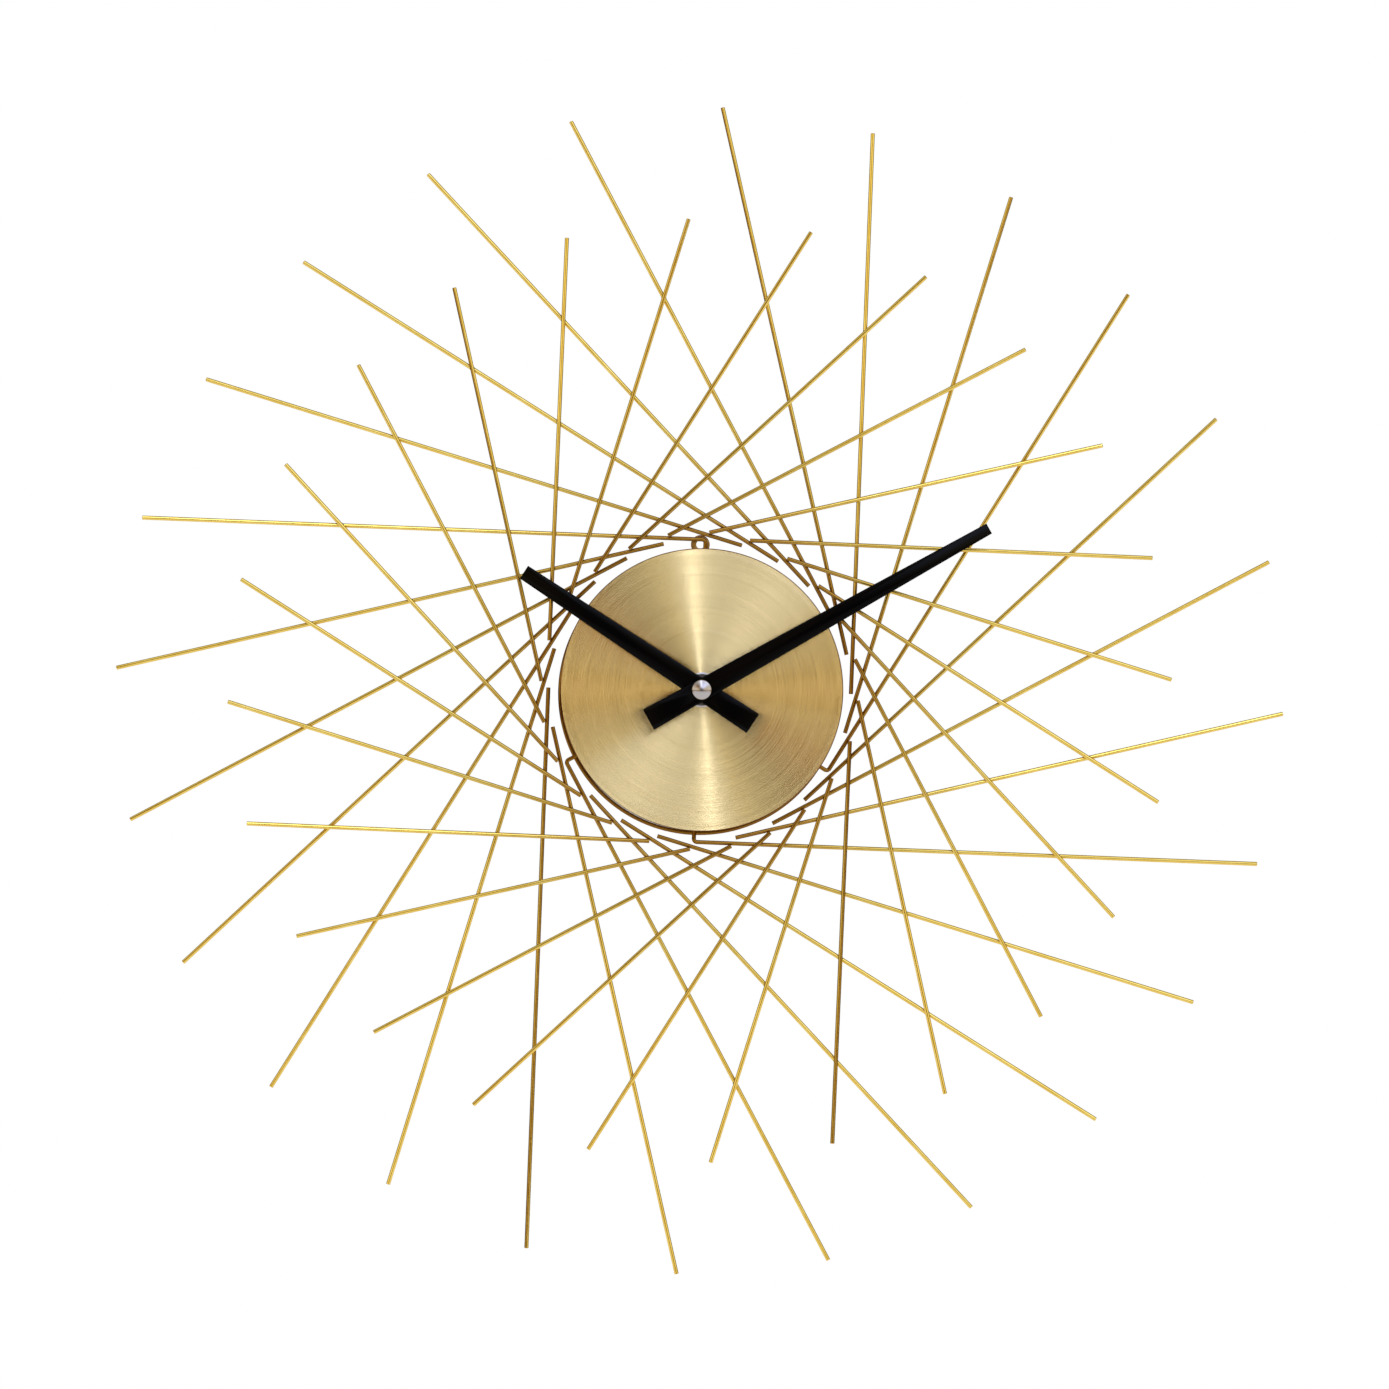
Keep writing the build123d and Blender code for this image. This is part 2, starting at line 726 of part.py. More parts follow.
def centre_wheel():
    """Driven by the train, it grips the minute arbor by friction."""
    low = centre_wheel_z
    high = low + wheel_thick
    wheel = gear(centre_teeth, centre_module, stem_axis, 0, low, high)
    wheel -= lightening_holes(stem_axis, centre_teeth * centre_module / 2, low)
    return wheel - disc(stem_axis, minute_arbor_r, low, high)


def third_wheel():
    low = third_wheel_z
    wheel = gear(third_teeth, third_module, third_axis, 0, low, low + wheel_thick)
    wheel -= lightening_holes(third_axis, third_teeth * third_module / 2, low)
    phase = meshed_phase(centre_teeth, 0, third_angle, third_pinion_teeth)
    pinion = gear(third_pinion_teeth, centre_module, third_axis, phase,
                  low + wheel_thick, centre_wheel_z + wheel_thick + pinion_over)
    return wheel + pinion + arbor(third_axis, arbor_r)


def seconds_wheel():
    low = seconds_wheel_z
    wheel = gear(seconds_teeth, seconds_module, seconds_axis, 0, low, low + wheel_thick)
    wheel -= lightening_holes(seconds_axis, seconds_teeth * seconds_module / 2, low)
    phase = meshed_phase(third_teeth, 0, seconds_angle, seconds_pinion_teeth)
    pinion = gear(seconds_pinion_teeth, third_module, seconds_axis, phase,
                  low + wheel_thick, third_wheel_z + wheel_thick + pinion_over)
    return wheel + pinion + arbor(seconds_axis, arbor_r)


def fifth_wheel():
    low = fifth_wheel_z
    wheel = gear(fifth_teeth, fifth_module, fifth_axis, 0, low, low + wheel_thick)
    wheel -= lightening_holes(fifth_axis, fifth_teeth * fifth_module / 2, low)
    phase = meshed_phase(seconds_teeth, 0, fifth_angle, fifth_pinion_teeth)
    pinion = gear(fifth_pinion_teeth, seconds_module, fifth_axis, phase,
                  low + wheel_thick, seconds_wheel_z + wheel_thick + pinion_over)
    return wheel + pinion + arbor(fifth_axis, arbor_r)


def rotor_pinion():
    """The motor's arbor and pinion, moulded in one."""
    phase = meshed_phase(fifth_teeth, 0, rotor_angle, rotor_pinion_teeth)
    pinion = gear(rotor_pinion_teeth, fifth_module, rotor_axis, phase,
                  fifth_wheel_z - pinion_over / 2,
                  fifth_wheel_z + wheel_thick + pinion_over / 2)
    return pinion + arbor(rotor_axis, rotor_arbor_r)


def rotor_magnet():
    low = stator_z + stator_thick / 2 - rotor_tall / 2
    return tube(rotor_axis, rotor_r, rotor_arbor_r, low, low + rotor_tall)


def minute_wheel():
    """The setting wheel, its pinion and the arbor that reaches back to the knob."""
    low = minute_wheel_z
    phase = meshed_phase(cannon_teeth, 0, minute_wheel_angle, minute_wheel_teeth)
    wheel = gear(minute_wheel_teeth, motion_module, minute_wheel_axis, phase, low, low + wheel_thick)
    wheel -= lightening_holes(minute_wheel_axis, minute_wheel_teeth * motion_module / 2, low)
    top = hour_wheel_z + wheel_thick + pinion_over
    pinion = gear(minute_pinion_teeth, hour_module, minute_wheel_axis, 0, low + wheel_thick, top)
    shaft = disc(minute_wheel_axis, knob_arbor_r, knob_back + knob_web, low + wheel_thick)
    pivot = disc(minute_wheel_axis, pivot_r, top, case_floor + pivot_deep - arbor_end_gap)
    return wheel + pinion + shaft + pivot


def hour_wheel():
    """The slow wheel and the pipe that carries the hour hand."""
    low = hour_wheel_z
    phase = meshed_phase(minute_pinion_teeth, 0, minute_wheel_angle + 180, hour_wheel_teeth)
    wheel = gear(hour_wheel_teeth, hour_module, stem_axis, phase, low, low + wheel_thick)
    wheel += disc(stem_axis, pipe_outer_r, low, pipe_end)
    return wheel - disc(stem_axis, pipe_inner_r, low, pipe_end)


# ---- writing the parts -----------------------------------------------------------------------------
pieces = {
    "rear_rods": rear_rods,
    "anchor_rods": anchor_rods,
    "front_rods": front_rods,
    "support_ring": support_ring,
    "hanging_eye": hanging_eye,
    "cross_strap": cross_strap,
    "dial": dial,
    "seal_pad": seal_pad,
    "stem_washer": stem_washer,
    "stem_nut": stem_nut,
    "hour_hand": hour_hand,
    "hour_bush": hour_bush,
    "minute_hand": minute_hand,
    "minute_bush": minute_bush,
    "cap_nut": cap_nut,
    "movement_case": movement_case,
    "rear_cover": rear_cover,
    "setting_knob": setting_knob,
    "train_plate": train_plate,
    "plate_screws": plate_screws,
    "battery_cell": battery_cell,
    "battery_nub": battery_nub,
    "plus_contact": plus_contact,
    "minus_contact": minus_contact,
    "circuit_board": circuit_board,
    "timing_chip": timing_chip,
    "quartz_can": quartz_can,
    "stator": stator,
    "coil_core": coil_core,
    "coil_bobbin": coil_bobbin,
    "coil_winding": coil_winding,
    "minute_arbor": minute_arbor,
    "centre_wheel": centre_wheel,
    "third_wheel": third_wheel,
    "seconds_wheel": seconds_wheel,
    "fifth_wheel": fifth_wheel,
    "rotor_pinion": rotor_pinion,
    "rotor_magnet": rotor_magnet,
    "minute_wheel": minute_wheel,
    "hour_wheel": hour_wheel,
}


def hang(shape):
    """Stand the clock up against the wall: the face turns from +Z to -Y."""
    return Rot(90, 0, 0) * shape


os.makedirs("parts", exist_ok=True)
for node, make in pieces.items():
    export_step(hang(make()), f"parts/{node}.step")
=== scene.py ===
import math

import bpy
import numpy as np
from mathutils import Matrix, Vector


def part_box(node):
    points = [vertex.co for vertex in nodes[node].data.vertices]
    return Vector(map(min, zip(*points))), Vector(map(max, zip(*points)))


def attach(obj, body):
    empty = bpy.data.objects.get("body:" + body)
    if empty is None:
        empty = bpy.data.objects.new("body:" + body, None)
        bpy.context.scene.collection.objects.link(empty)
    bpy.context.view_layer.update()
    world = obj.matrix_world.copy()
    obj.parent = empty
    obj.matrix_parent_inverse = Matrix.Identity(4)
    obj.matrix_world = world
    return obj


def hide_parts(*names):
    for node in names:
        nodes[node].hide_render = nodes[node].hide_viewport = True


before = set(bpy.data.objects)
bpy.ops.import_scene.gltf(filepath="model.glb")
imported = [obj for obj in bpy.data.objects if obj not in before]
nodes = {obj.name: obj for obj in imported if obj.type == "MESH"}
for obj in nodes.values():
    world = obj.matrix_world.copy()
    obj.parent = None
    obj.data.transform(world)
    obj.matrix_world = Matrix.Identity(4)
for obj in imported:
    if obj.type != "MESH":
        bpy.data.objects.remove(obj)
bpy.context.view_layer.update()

mm = 0.001

# ---- studio ----------------------------------------------------------
# The clock hangs in a white studio over a pale floor, seen straight on.  Soft panels stand above
# it, to both sides and behind it, the lens looks out of a dark gap, and less, warmer light comes
# from below.
camera_away = 2500 * mm
view_wide = 594.5 * mm
view_middle = (-3.1 * mm, -2.0 * mm)
dial_front_y = -19.7 * mm

camera = bpy.data.cameras.new("camera")
camera.sensor_width = 36.0
camera.lens = 36.0 * camera_away / view_wide
camera.clip_start = 0.05
camera.clip_end = 100.0
camera_object = bpy.data.objects.new("camera", camera)
camera_object.location = (view_middle[0], dial_front_y - camera_away, view_middle[1])
camera_object.rotation_euler = (math.pi / 2, 0, 0)
bpy.context.scene.collection.objects.link(camera_object)
bpy.context.scene.camera = camera_object
bpy.context.scene.view_settings.view_transform = "Standard"


def linear(colour):
    """An sRGB hex colour as linear red, green, blue and alpha: below 0.04045 a channel is divided
    by 12.92, and above it the channel plus 0.055, over 1.055, is raised to the power 2.4."""
    channels = np.array([int(colour[k:k + 2], 16) for k in (1, 3, 5)]) / 255
    low = channels / 12.92
    high = ((channels + 0.055) / 1.055) ** 2.4
    return (*np.where(channels <= 0.04045, low, high).tolist(), 1.0)


def add(tree, kind, inputs=(), **settings):
    """One shader node with its settings, and a value or a link for each named or numbered input;
    a node given as an input stands for its first output."""
    made = tree.nodes.new("ShaderNode" + kind)
    for key, value in settings.items():
        setattr(made, key, value)
    for key, value in dict(inputs).items():
        if isinstance(value, bpy.types.Node):
            value = value.outputs[0]
        if isinstance(value, bpy.types.NodeSocket):
            tree.links.new(value, made.inputs[key])
        else:
            made.inputs[key].default_value = value
    return made


def fill_ramp(ramp, stops):
    """The colour stops of a ramp node, from (place, colour) pairs, each colour in sRGB hex or as
    linear light."""
    stops = [(place, linear(colour) if isinstance(colour, str) else colour)
             for place, colour in stops]
    elements = ramp.color_ramp.elements
    while len(elements) > 1:
        elements.remove(elements[-1])
    elements[0].position = stops[0][0]
    elements[0].color = stops[0][1]
    for place, colour in stops[1:]:
        elements.new(place).color = colour


# Where each part of the studio begins and ends, along one axis of the direction towards it, and
# its share at both places.
studio_parts = [
    ("above", "Z", -0.06, 0.06, 0.0, 1.0),
    ("lens_gap", "Y", -0.998, -0.965, 0.05, 1.0),
    ("walls", "Y", -0.77, -0.42, 0.0, 1.0),
    ("behind", "Y", -0.40, 0.20, 1.0, 0.09),
    ("back_panel", "Y", 0.62, 0.90, 0.0, 1.0),
]
wall_light = (0.20, 0.195, 0.18, 1.0)
below_light = (0.36, 0.24, 0.09, 1.0)
above_light = (1.38, 1.50, 1.62, 1.0)
light_peak = 4.0

# The panels by the direction round the line of sight, in degrees clockwise from overhead; it
# repeats after half a turn.  A broad panel stands at 34 degrees, a weaker one at 90 lights the
# sides, a narrow strip light hangs at 175, and the gap round 136 shows the dim, warm room.
daylight = (1.0, 1.05, 1.3)
lamplight = (1.0, 0.86, 0.60)
wood = (1.0, 0.52, 0.16)
panel_light = [
    (0.0, 1.4, daylight),
    (5.0, 0.85, daylight),
    (14.0, 0.8, daylight),
    (34.0, 1.25, daylight),
    (52.0, 1.0, daylight),
    (60.0, 0.75, lamplight),
    (70.0, 0.7, lamplight),
    (90.0, 1.15, lamplight),
    (104.0, 0.85, lamplight),
    (120.0, 0.45, wood),
    (136.0, 0.2, wood),
    (150.0, 0.3, lamplight),
    (162.0, 0.7, lamplight),
    (170.0, 0.8, daylight),
    (172.5, 1.5, daylight),
    (175.0, 4.0, daylight),
    (177.5, 2.2, daylight),
    (180.0, 1.4, daylight),
]
studio = bpy.data.worlds.new("studio")
studio.use_nodes = True
bpy.context.scene.world = studio
tree = studio.node_tree
tree.nodes.clear()
place = add(tree, "TexCoord").outputs["Generated"]
way = add(tree, "SeparateXYZ", {0: place})
round_view = add(tree, "Math", {0: way.outputs["X"], 1: way.outputs["Z"]}, operation="ARCTAN2")
half_turns = add(tree, "Math", {0: round_view, 1: math.pi}, operation="DIVIDE")
along_ramp = add(tree, "Math", {0: half_turns}, operation="FRACT")
panels = add(tree, "ValToRGB", {0: along_ramp})
fill_ramp(panels, [(degrees / 180, (*[light * c / light_peak for c in tint], 1.0))
                   for degrees, light, tint in panel_light])
share = {}
for part, axis, start, end, first, last in studio_parts:
    share[part] = add(tree, "MapRange", {0: way.outputs[axis], 1: start, 2: end, 3: first,
                                         4: last}, interpolation_type="SMOOTHSTEP")
around = add(tree, "Mix", {0: share["walls"], 6: panels, 7: wall_light}, data_type="RGBA")
from_height = add(tree, "Mix", {0: share["above"], 6: below_light, 7: above_light},
                  data_type="RGBA")
around = add(tree, "Mix", {0: 1.0, 6: around.outputs[2], 7: from_height.outputs[2]},
             data_type="RGBA", blend_type="MULTIPLY")
behind = add(tree, "Math", {0: share["behind"], 1: share["back_panel"]}, operation="MAXIMUM")
strength = add(tree, "Math", {0: share["lens_gap"], 1: behind}, operation="MULTIPLY")
strength = add(tree, "Math", {0: strength, 1: light_peak}, operation="MULTIPLY")
lit = add(tree, "Background", {0: around.outputs[2], 1: strength})
seen = add(tree, "Background", {0: (1, 1, 1, 1), 1: 1.0})
straight = add(tree, "LightPath").outputs["Is Camera Ray"]
either = add(tree, "MixShader", {0: straight, 1: lit, 2: seen})
add(tree, "OutputWorld", {0: either})


def finish_named(name):
    """A new empty material, and the node tree to build its finish in."""
    made = bpy.data.materials.new(name)
    made.use_nodes = True
    made.node_tree.nodes.clear()
    return made, made.node_tree


def grid_faces(rows, columns, closed):
    """The four-cornered faces of a grid of points, numbered row by row.  Every row runs on from
    its last point to its first, and the rows of a closed grid do the same."""
    r = np.arange(rows if closed else rows - 1)[:, None]
    c = np.arange(columns)[None, :]
    r2 = (r + 1) % rows
    c2 = (c + 1) % columns
    corners = [r * columns + c, r2 * columns + c, r2 * columns + c2, r * columns + c2]
    return np.stack([np.broadcast_to(k, (r.size, c.size)).ravel() for k in corners], axis=1)


def pointed(faces, rows, columns):
    """A grid's faces with its whole first row taken as one point, and its whole last row."""
    last_row = (rows - 1) * columns
    faces = np.where(faces < columns, 0, faces)
    return np.where(faces >= last_row, last_row, faces)


def volume(points, faces):
    """Signed volume of a closed shape: the sum over its faces of the corners' triple product."""
    a, b, c, d = (points[faces[:, k]] for k in range(4))
    halves = np.cross(a, b) * c + np.cross(a, c) * d
    return halves.sum() / 6


def new_piece(name, points, faces, finish, body, slot, stands_for=(), smooth_below=35.0):
    """A piece of the clock from points in metres and four-cornered faces.  Faces that would make
    its volume negative are turned round, so that they point outwards, and a face with a repeated
    corner is written as a triangle."""
    if volume(points, faces) < 0:
        faces = faces[:, ::-1]
    mesh = bpy.data.meshes.new(name)
    tidy = [tuple(dict.fromkeys(face)) for face in faces.tolist()]
    mesh.from_pydata(points.tolist(), [], [face for face in tidy if len(face) > 2])
    mesh.polygons.foreach_set("use_smooth", np.ones(len(mesh.polygons), dtype=bool))
    mesh.set_sharp_from_angle(angle=math.radians(smooth_below))
    mesh.materials.append(finish)
    made = bpy.data.objects.new(name, mesh)
    bpy.context.scene.collection.objects.link(made)
    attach(made, body)
    if stands_for:
        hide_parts(*stands_for)
    return made


def joined(shapes):
    """Several closed (points, faces) shapes as one: each one's faces point outwards and are
    numbered on from the last."""
    shapes = [(points, faces if volume(points, faces) > 0 else faces[:, ::-1])
              for points, faces in shapes]
    starts = np.cumsum([0] + [len(points) for points, _ in shapes[:-1]])
    return (np.concatenate([points for points, _ in shapes]),
            np.concatenate([faces + start for (_, faces), start in zip(shapes, starts)]))


floor_side = 6.0
floor_low = -1.1
floor_finish, tree = finish_named("white_studio_floor")
paint = add(tree, "BsdfPrincipled", {"Base Color": linear("#F4F3F1"), "Roughness": 0.8,
                                     "Emission Color": linear("#FFFFFF"),
                                     "Emission Strength": 0.42})
add(tree, "OutputMaterial", {0: paint})
floor_mesh = bpy.data.meshes.new("floor")
floor_mesh.from_pydata([(x * floor_side, y * floor_side, floor_low)
                        for x, y in ((-1, -1), (1, -1), (1, 1), (-1, 1))], [], [(0, 1, 2, 3)])
floor_mesh.materials.append(floor_finish)
floor = bpy.data.objects.new("floor", floor_mesh)
bpy.context.scene.collection.objects.link(floor)

# ---- wire sunburst ---------------------------------------------------
# Two layers of drawn steel wire, cropped square at both ends, crossed and spot-welded, then
# plated in bright gold.  The long rods lie behind and lean anticlockwise; the short rods lie in
# front and lean clockwise.
wire_r = 0.9 * mm
crop_edge = 0.12 * mm
rod_count = 24
rods_middle = np.array([-0.9, -0.4]) * mm
long_tip_r = 250.0 * mm
long_pass_r = 64.8 * mm
long_start = 1.1 * mm
long_turn = -2.24
long_y = -17.7 * mm
short_tip_r = 202.0 * mm
short_pass_r = 65.2 * mm
short_start = 18.7 * mm
short_turn = -2.5
short_y = -19.4 * mm
bent_first = 2
bent_every = 4
bend_r = 1.4 * mm
leg_end_r = 57.7 * mm
wire_sides = 20


def toward(angle):
    """The unit direction at an angle in degrees, anticlockwise from three o'clock."""
    return np.array([math.cos(math.radians(angle)), math.sin(math.radians(angle))])


def unit(vectors):
    """Each row of an array of flat vectors, over its own length."""
    return vectors / np.linalg.norm(vectors, axis=1)[:, None]


def run_of(path, closed):
    """The way along a path at each point: from the point before it to the point after it, with
    the ends of an open path taken from their one neighbour."""
    if closed:
        return np.roll(path, -1, axis=0) - np.roll(path, 1, axis=0)
    return np.gradient(path, axis=0)


def wire(path, y, closed=False):
    """A round wire along a flat path at one depth.  Each path point gets a circle: the wire's
    radius times the cosine of the way round goes along the path's own normal, and the sine goes
    along Y.  An open wire starts and ends in a flat face with a narrow bevelled edge."""
    path = np.asarray(path)
    if not closed:
        first, last = unit(path[[1, -1]] - path[[0, -2]]) * crop_edge
        path = np.concatenate([[path[0]] * 2, [path[0] + first], path[1:-1],
                               [path[-1] - last], [path[-1]] * 2])
    ahead = run_of(path, closed)
    radii = np.full(len(path), wire_r)
    if not closed:
        ahead[[0, 1]] = first
        ahead[[-1, -2]] = last
        radii[[1, -2]] = wire_r - crop_edge
        radii[[0, -1]] = 0.0
    ahead = unit(ahead)
    side = np.stack([-ahead[:, 1], ahead[:, 0]], axis=1)
    turn = np.linspace(0, 2 * math.pi, wire_sides, endpoint=False)
    out = radii[:, None] * np.cos(turn)[None, :]
    depth = radii[:, None] * np.sin(turn)[None, :]
    x = path[:, 0, None] + side[:, 0, None] * out
    z = path[:, 1, None] + side[:, 1, None] * out
    points = np.stack([x, y + depth, z], axis=2).reshape(-1, 3)
    faces = grid_faces(len(path), wire_sides, closed)
    return points, faces if closed else pointed(faces, len(path), wire_sides)


def passing(pass_r, angle, lean, start, tip_r):
    """Start and tip of a rod that passes a circle at an angle and runs on to a larger circle."""
    foot = rods_middle + pass_r * toward(angle)
    heading = toward(angle + lean * 90)
    reach = math.sqrt(tip_r ** 2 - pass_r ** 2)
    return foot + start * heading, foot + reach * heading


def drawn_out(start, tip, steps=12):
    """Evenly spaced points from one end of a straight rod to the other."""
    return start + (tip - start) * np.linspace(0, 1, steps)[:, None]


# Bright gold plating on drawn steel wire, with faint changes of gloss over a few millimetres.
# Towards the hub, where the rods crowd together, the gold is darkened to a dull brown as painted
# shade.
gold_wire, tree = finish_named("bright_gold_plated_wire")
spot = add(tree, "TexCoord").outputs["Object"]
patches = add(tree, "TexNoise", {"Vector": spot, "Scale": 90.0, "Detail": 3.0})
streaks = add(tree, "TexNoise", {"Vector": spot, "Scale": 260.0, "Detail": 2.0})
tone = add(tree, "ValToRGB", {0: patches})
fill_ramp(tone, [(0.30, "#E2BC56"), (0.55, "#EAC662"), (0.75, "#F0D070")])
# Painted shade: the gold is multiplied by a ramp that darkens it to brown towards the hub.
flat_spot = add(tree, "VectorMath", {0: spot, 1: (1.0, 0.0, 1.0)}, operation="MULTIPLY")
from_hub = add(tree, "VectorMath", {0: flat_spot}, operation="LENGTH")
outwards = add(tree, "MapRange", {0: from_hub.outputs["Value"], 1: 0.06, 2: 0.16})
painted_hub_shade = add(tree, "ValToRGB", {0: outwards})
fill_ramp(painted_hub_shade, [(0.02, (0.30, 0.19, 0.11, 1.0)), (0.10, (0.44, 0.33, 0.24, 1.0)),
                   (0.20, (0.62, 0.55, 0.47, 1.0)), (0.35, (0.75, 0.71, 0.66, 1.0)),
                   (0.50, (0.84, 0.84, 0.84, 1.0)), (0.80, (1.0, 1.0, 1.0, 1.0))])
plated = add(tree, "Mix", {0: 1.0, 6: tone, 7: painted_hub_shade}, data_type="RGBA",
             blend_type="MULTIPLY")
gloss = add(tree, "MapRange", {0: streaks, 3: 0.11, 4: 0.16})
plating = add(tree, "BsdfPrincipled", {"Base Color": plated.outputs[2], "Metallic": 1.0,
                                       "Roughness": gloss})
add(tree, "OutputMaterial", {0: plating})

long_rods = []
bent_rods = []
short_rods = []
long_lines = []
short_lines = []
for k in range(rod_count):
    angle = long_turn + 360 * k / rod_count
    if k % bent_every == bent_first:
        corner, tip = passing(long_pass_r, angle, 1, 0.0, long_tip_r)
        inward = -toward(angle)
        outward = (tip - corner) / np.linalg.norm(tip - corner)
        hub = corner + bend_r * (inward + outward)
        swing = np.linspace(0, math.pi / 2, 10)[:, None]
        bend = hub - bend_r * (inward * np.cos(swing) + outward * np.sin(swing))
        leg_end = rods_middle + leg_end_r * toward(angle)
        bent_rods.append(wire(np.concatenate([drawn_out(tip, bend[0])[:-1], bend,
                                              drawn_out(bend[-1], leg_end, 4)[1:]]), long_y))
        long_lines.append((corner, tip))
    else:
        start, tip = passing(long_pass_r, angle, 1, long_start, long_tip_r)
        long_rods.append(wire(drawn_out(start, tip), long_y))
        long_lines.append((start, tip))
    start, tip = passing(short_pass_r, short_turn + 360 * k / rod_count, -1, short_start,
                         short_tip_r)
    short_rods.append(wire(drawn_out(start, tip), short_y))
    short_lines.append((start, tip))
for name, rods, node in (("long_rods", long_rods, "rear_rods"),
                         ("bent_rods", bent_rods, "anchor_rods"),
                         ("short_rods", short_rods, "front_rods")):
    new_piece(name, *joined(rods), gold_wire, "clock_frame", "gold_wire", [node])

# ---- spot welds ------------------------------------------------------
# Where a short rod crosses a long one the wires are pressed and welded into each other, which
# leaves a small plated swelling round the touching line.
weld_r = 1.125 * mm
weld_deep = 0.62 * mm


end_share = 0.01


def crossing(a, b, c, d):
    """Where the line from a to b meets the line from c to d, or None when that is outside either
    line or at its very end."""
    along = b - a
    other = d - c
    cross = along[0] * other[1] - along[1] * other[0]
    gap = c - a
    t = (gap[0] * other[1] - gap[1] * other[0]) / cross
    u = (gap[0] * along[1] - gap[1] * along[0]) / cross
    inside = all(end_share < share < 1 - end_share for share in (t, u))
    return a + t * along if inside else None


def bead(at, y, radius, deep, rings=5, sides=10):
    """A flattened ball: the radius times the sine of the way down across, and the depth times
    its cosine along Y."""
    down = np.linspace(0, math.pi, rings)[:, None]
    turn = np.linspace(0, 2 * math.pi, sides, endpoint=False)[None, :]
    x = at[0] + radius * np.sin(down) * np.cos(turn)
    z = at[1] + radius * np.sin(down) * np.sin(turn)
    points = np.stack([x, y + deep * np.cos(down) + 0 * turn, z], axis=2).reshape(-1, 3)
    return points, pointed(grid_faces(rings, sides, False), rings, sides)


beads = []
for a, b in long_lines:
    for c, d in short_lines:
        at = crossing(a, b, c, d)
        if at is not None:
            beads.append(bead(at, (long_y + short_y) / 2, weld_r, weld_deep))
new_piece("rod_welds", *joined(beads), gold_wire, "clock_frame", "gold_wire")

# ---- support ring, hanging eye and cross strap -----------------------
# A ring of the same wire stands behind the dial and carries the bent rods.  A pressed eye and a
# flat strap, both of strip steel, are welded to its back; they are plated with the rest, and their
# colour is darkened to a warm brown as painted shade for the shade behind the dial.
ring_middle = np.array([-1.0, -1.7]) * mm
ring_r = 59.7 * mm
ring_y = -16.0 * mm
round_ring = np.linspace(0, 2 * math.pi, 180, endpoint=False)
ring_path = ring_middle + ring_r * np.stack([np.cos(round_ring), np.sin(round_ring)], axis=1)
new_piece("ring", *wire(ring_path, ring_y, closed=True), gold_wire, "clock_frame", "gold_wire",
          ["support_ring"])


def stood(rows, axis=0):
    """Points in space from rows of flat points, each row with its depth."""
    return np.stack([np.column_stack([flat[:, 0], np.full(len(flat), y), flat[:, 1]])
                     for flat, y in rows], axis=axis).reshape(-1, 3)


def pierced_plate(outline, hole_at, hole_r, back_y, front_y, edge):
    """A flat plate with a round hole.  Every outline point has a partner on the hole in the same
    direction.  The section between them runs from the hole's back edge out to the rim and back
    along the front; at each rim and hole corner a quarter circle takes the edge off."""
    around = outline - hole_at
    ahead = unit(run_of(outline, True))
    out = np.stack([ahead[:, 1], -ahead[:, 0]], axis=1)
    out *= np.sign(np.sum(out * around))
    radial = unit(around)
    quarter = [(edge * (1 - math.sin(t)), edge * (1 - math.cos(t)))
               for t in np.linspace(0, math.pi / 2, 4)]
    rows = [(hole_at + radial * (hole_r + cut), back_y - sunk) for cut, sunk in quarter[::-1]]
    rows += [(outline - out * cut, back_y - sunk) for cut, sunk in quarter]
    rows += [(outline - out * cut, front_y + sunk) for cut, sunk in quarter[::-1]]
    rows += [(hole_at + radial * (hole_r + cut), front_y + sunk) for cut, sunk in quarter]
    return stood(rows), grid_faces(len(rows), len(outline), True)


def spread(corners, step):
    """Points about a step apart along a closed line through the corners."""
    runs = []
    for a, b in zip(corners, np.roll(corners, -1, axis=0)):
        count = max(1, int(round(np.linalg.norm(b - a) / step)))
        runs.append(a + (b - a) * (np.arange(count) / count)[:, None])
    return np.concatenate(runs)


# Thin gold plating on rolled strip, darkened to a warm brown as painted shade for the shade
# behind the dial: duller than the wire and mottled over a few millimetres.
shaded_gold_strip, tree = finish_named("dull_gold_strip_painted_shade")
spot = add(tree, "TexCoord").outputs["Object"]
mottle = add(tree, "TexNoise", {"Vector": spot, "Scale": 260.0, "Detail": 5.0})
# Painted shade: these warm browns are darker than the wire's gold, for the shade behind the dial.
tone = add(tree, "ValToRGB", {0: mottle})
fill_ramp(tone, [(0.30, "#94662F"), (0.55, "#AD8142"), (0.80, "#C09554")])
gloss = add(tree, "MapRange", {0: mottle, 3: 0.30, 4: 0.52})
rolled = add(tree, "Bump", {"Height": mottle, "Strength": 0.10, "Distance": 0.0001})
plating = add(tree, "BsdfPrincipled", {"Base Color": tone, "Metallic": 1.0,
                                       "Roughness": gloss,
                                       "Normal": rolled})
add(tree, "OutputMaterial", {0: plating})

eye_low, eye_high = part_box("hanging_eye")
eye_r = 4.05 * mm
eye_hole_r = 1.75 * mm
eye_at = np.array([-0.6 * mm, eye_high[2] - eye_r])
tail_half = 2.5 * mm
tail_meets = math.sqrt(eye_r ** 2 - tail_half ** 2)
start_angle = math.atan2(-tail_meets, tail_half)
swing = np.linspace(start_angle, math.pi - start_angle, 64)
eye_rim = eye_at + eye_r * np.stack([np.cos(swing), np.sin(swing)], axis=1)
tail_x = eye_at[0] + np.array([-1, -0.5, 0, 0.5, 1]) * tail_half
tail = np.column_stack([tail_x, np.full(5, eye_low[2])])
new_piece("eye", *pierced_plate(np.concatenate([eye_rim, tail]), eye_at, eye_hole_r,
                                eye_high[1], eye_low[1], 0.18 * mm),
          shaded_gold_strip, "clock_frame", "gold_plate", ["hanging_eye"])


def finish_cad(finish, *names):
    """Gives parts that keep their CAD shape their finish."""
    for name in names:
        nodes[name].data.materials.clear()
        nodes[name].data.materials.append(finish)


finish_cad(shaded_gold_strip, "cross_strap")

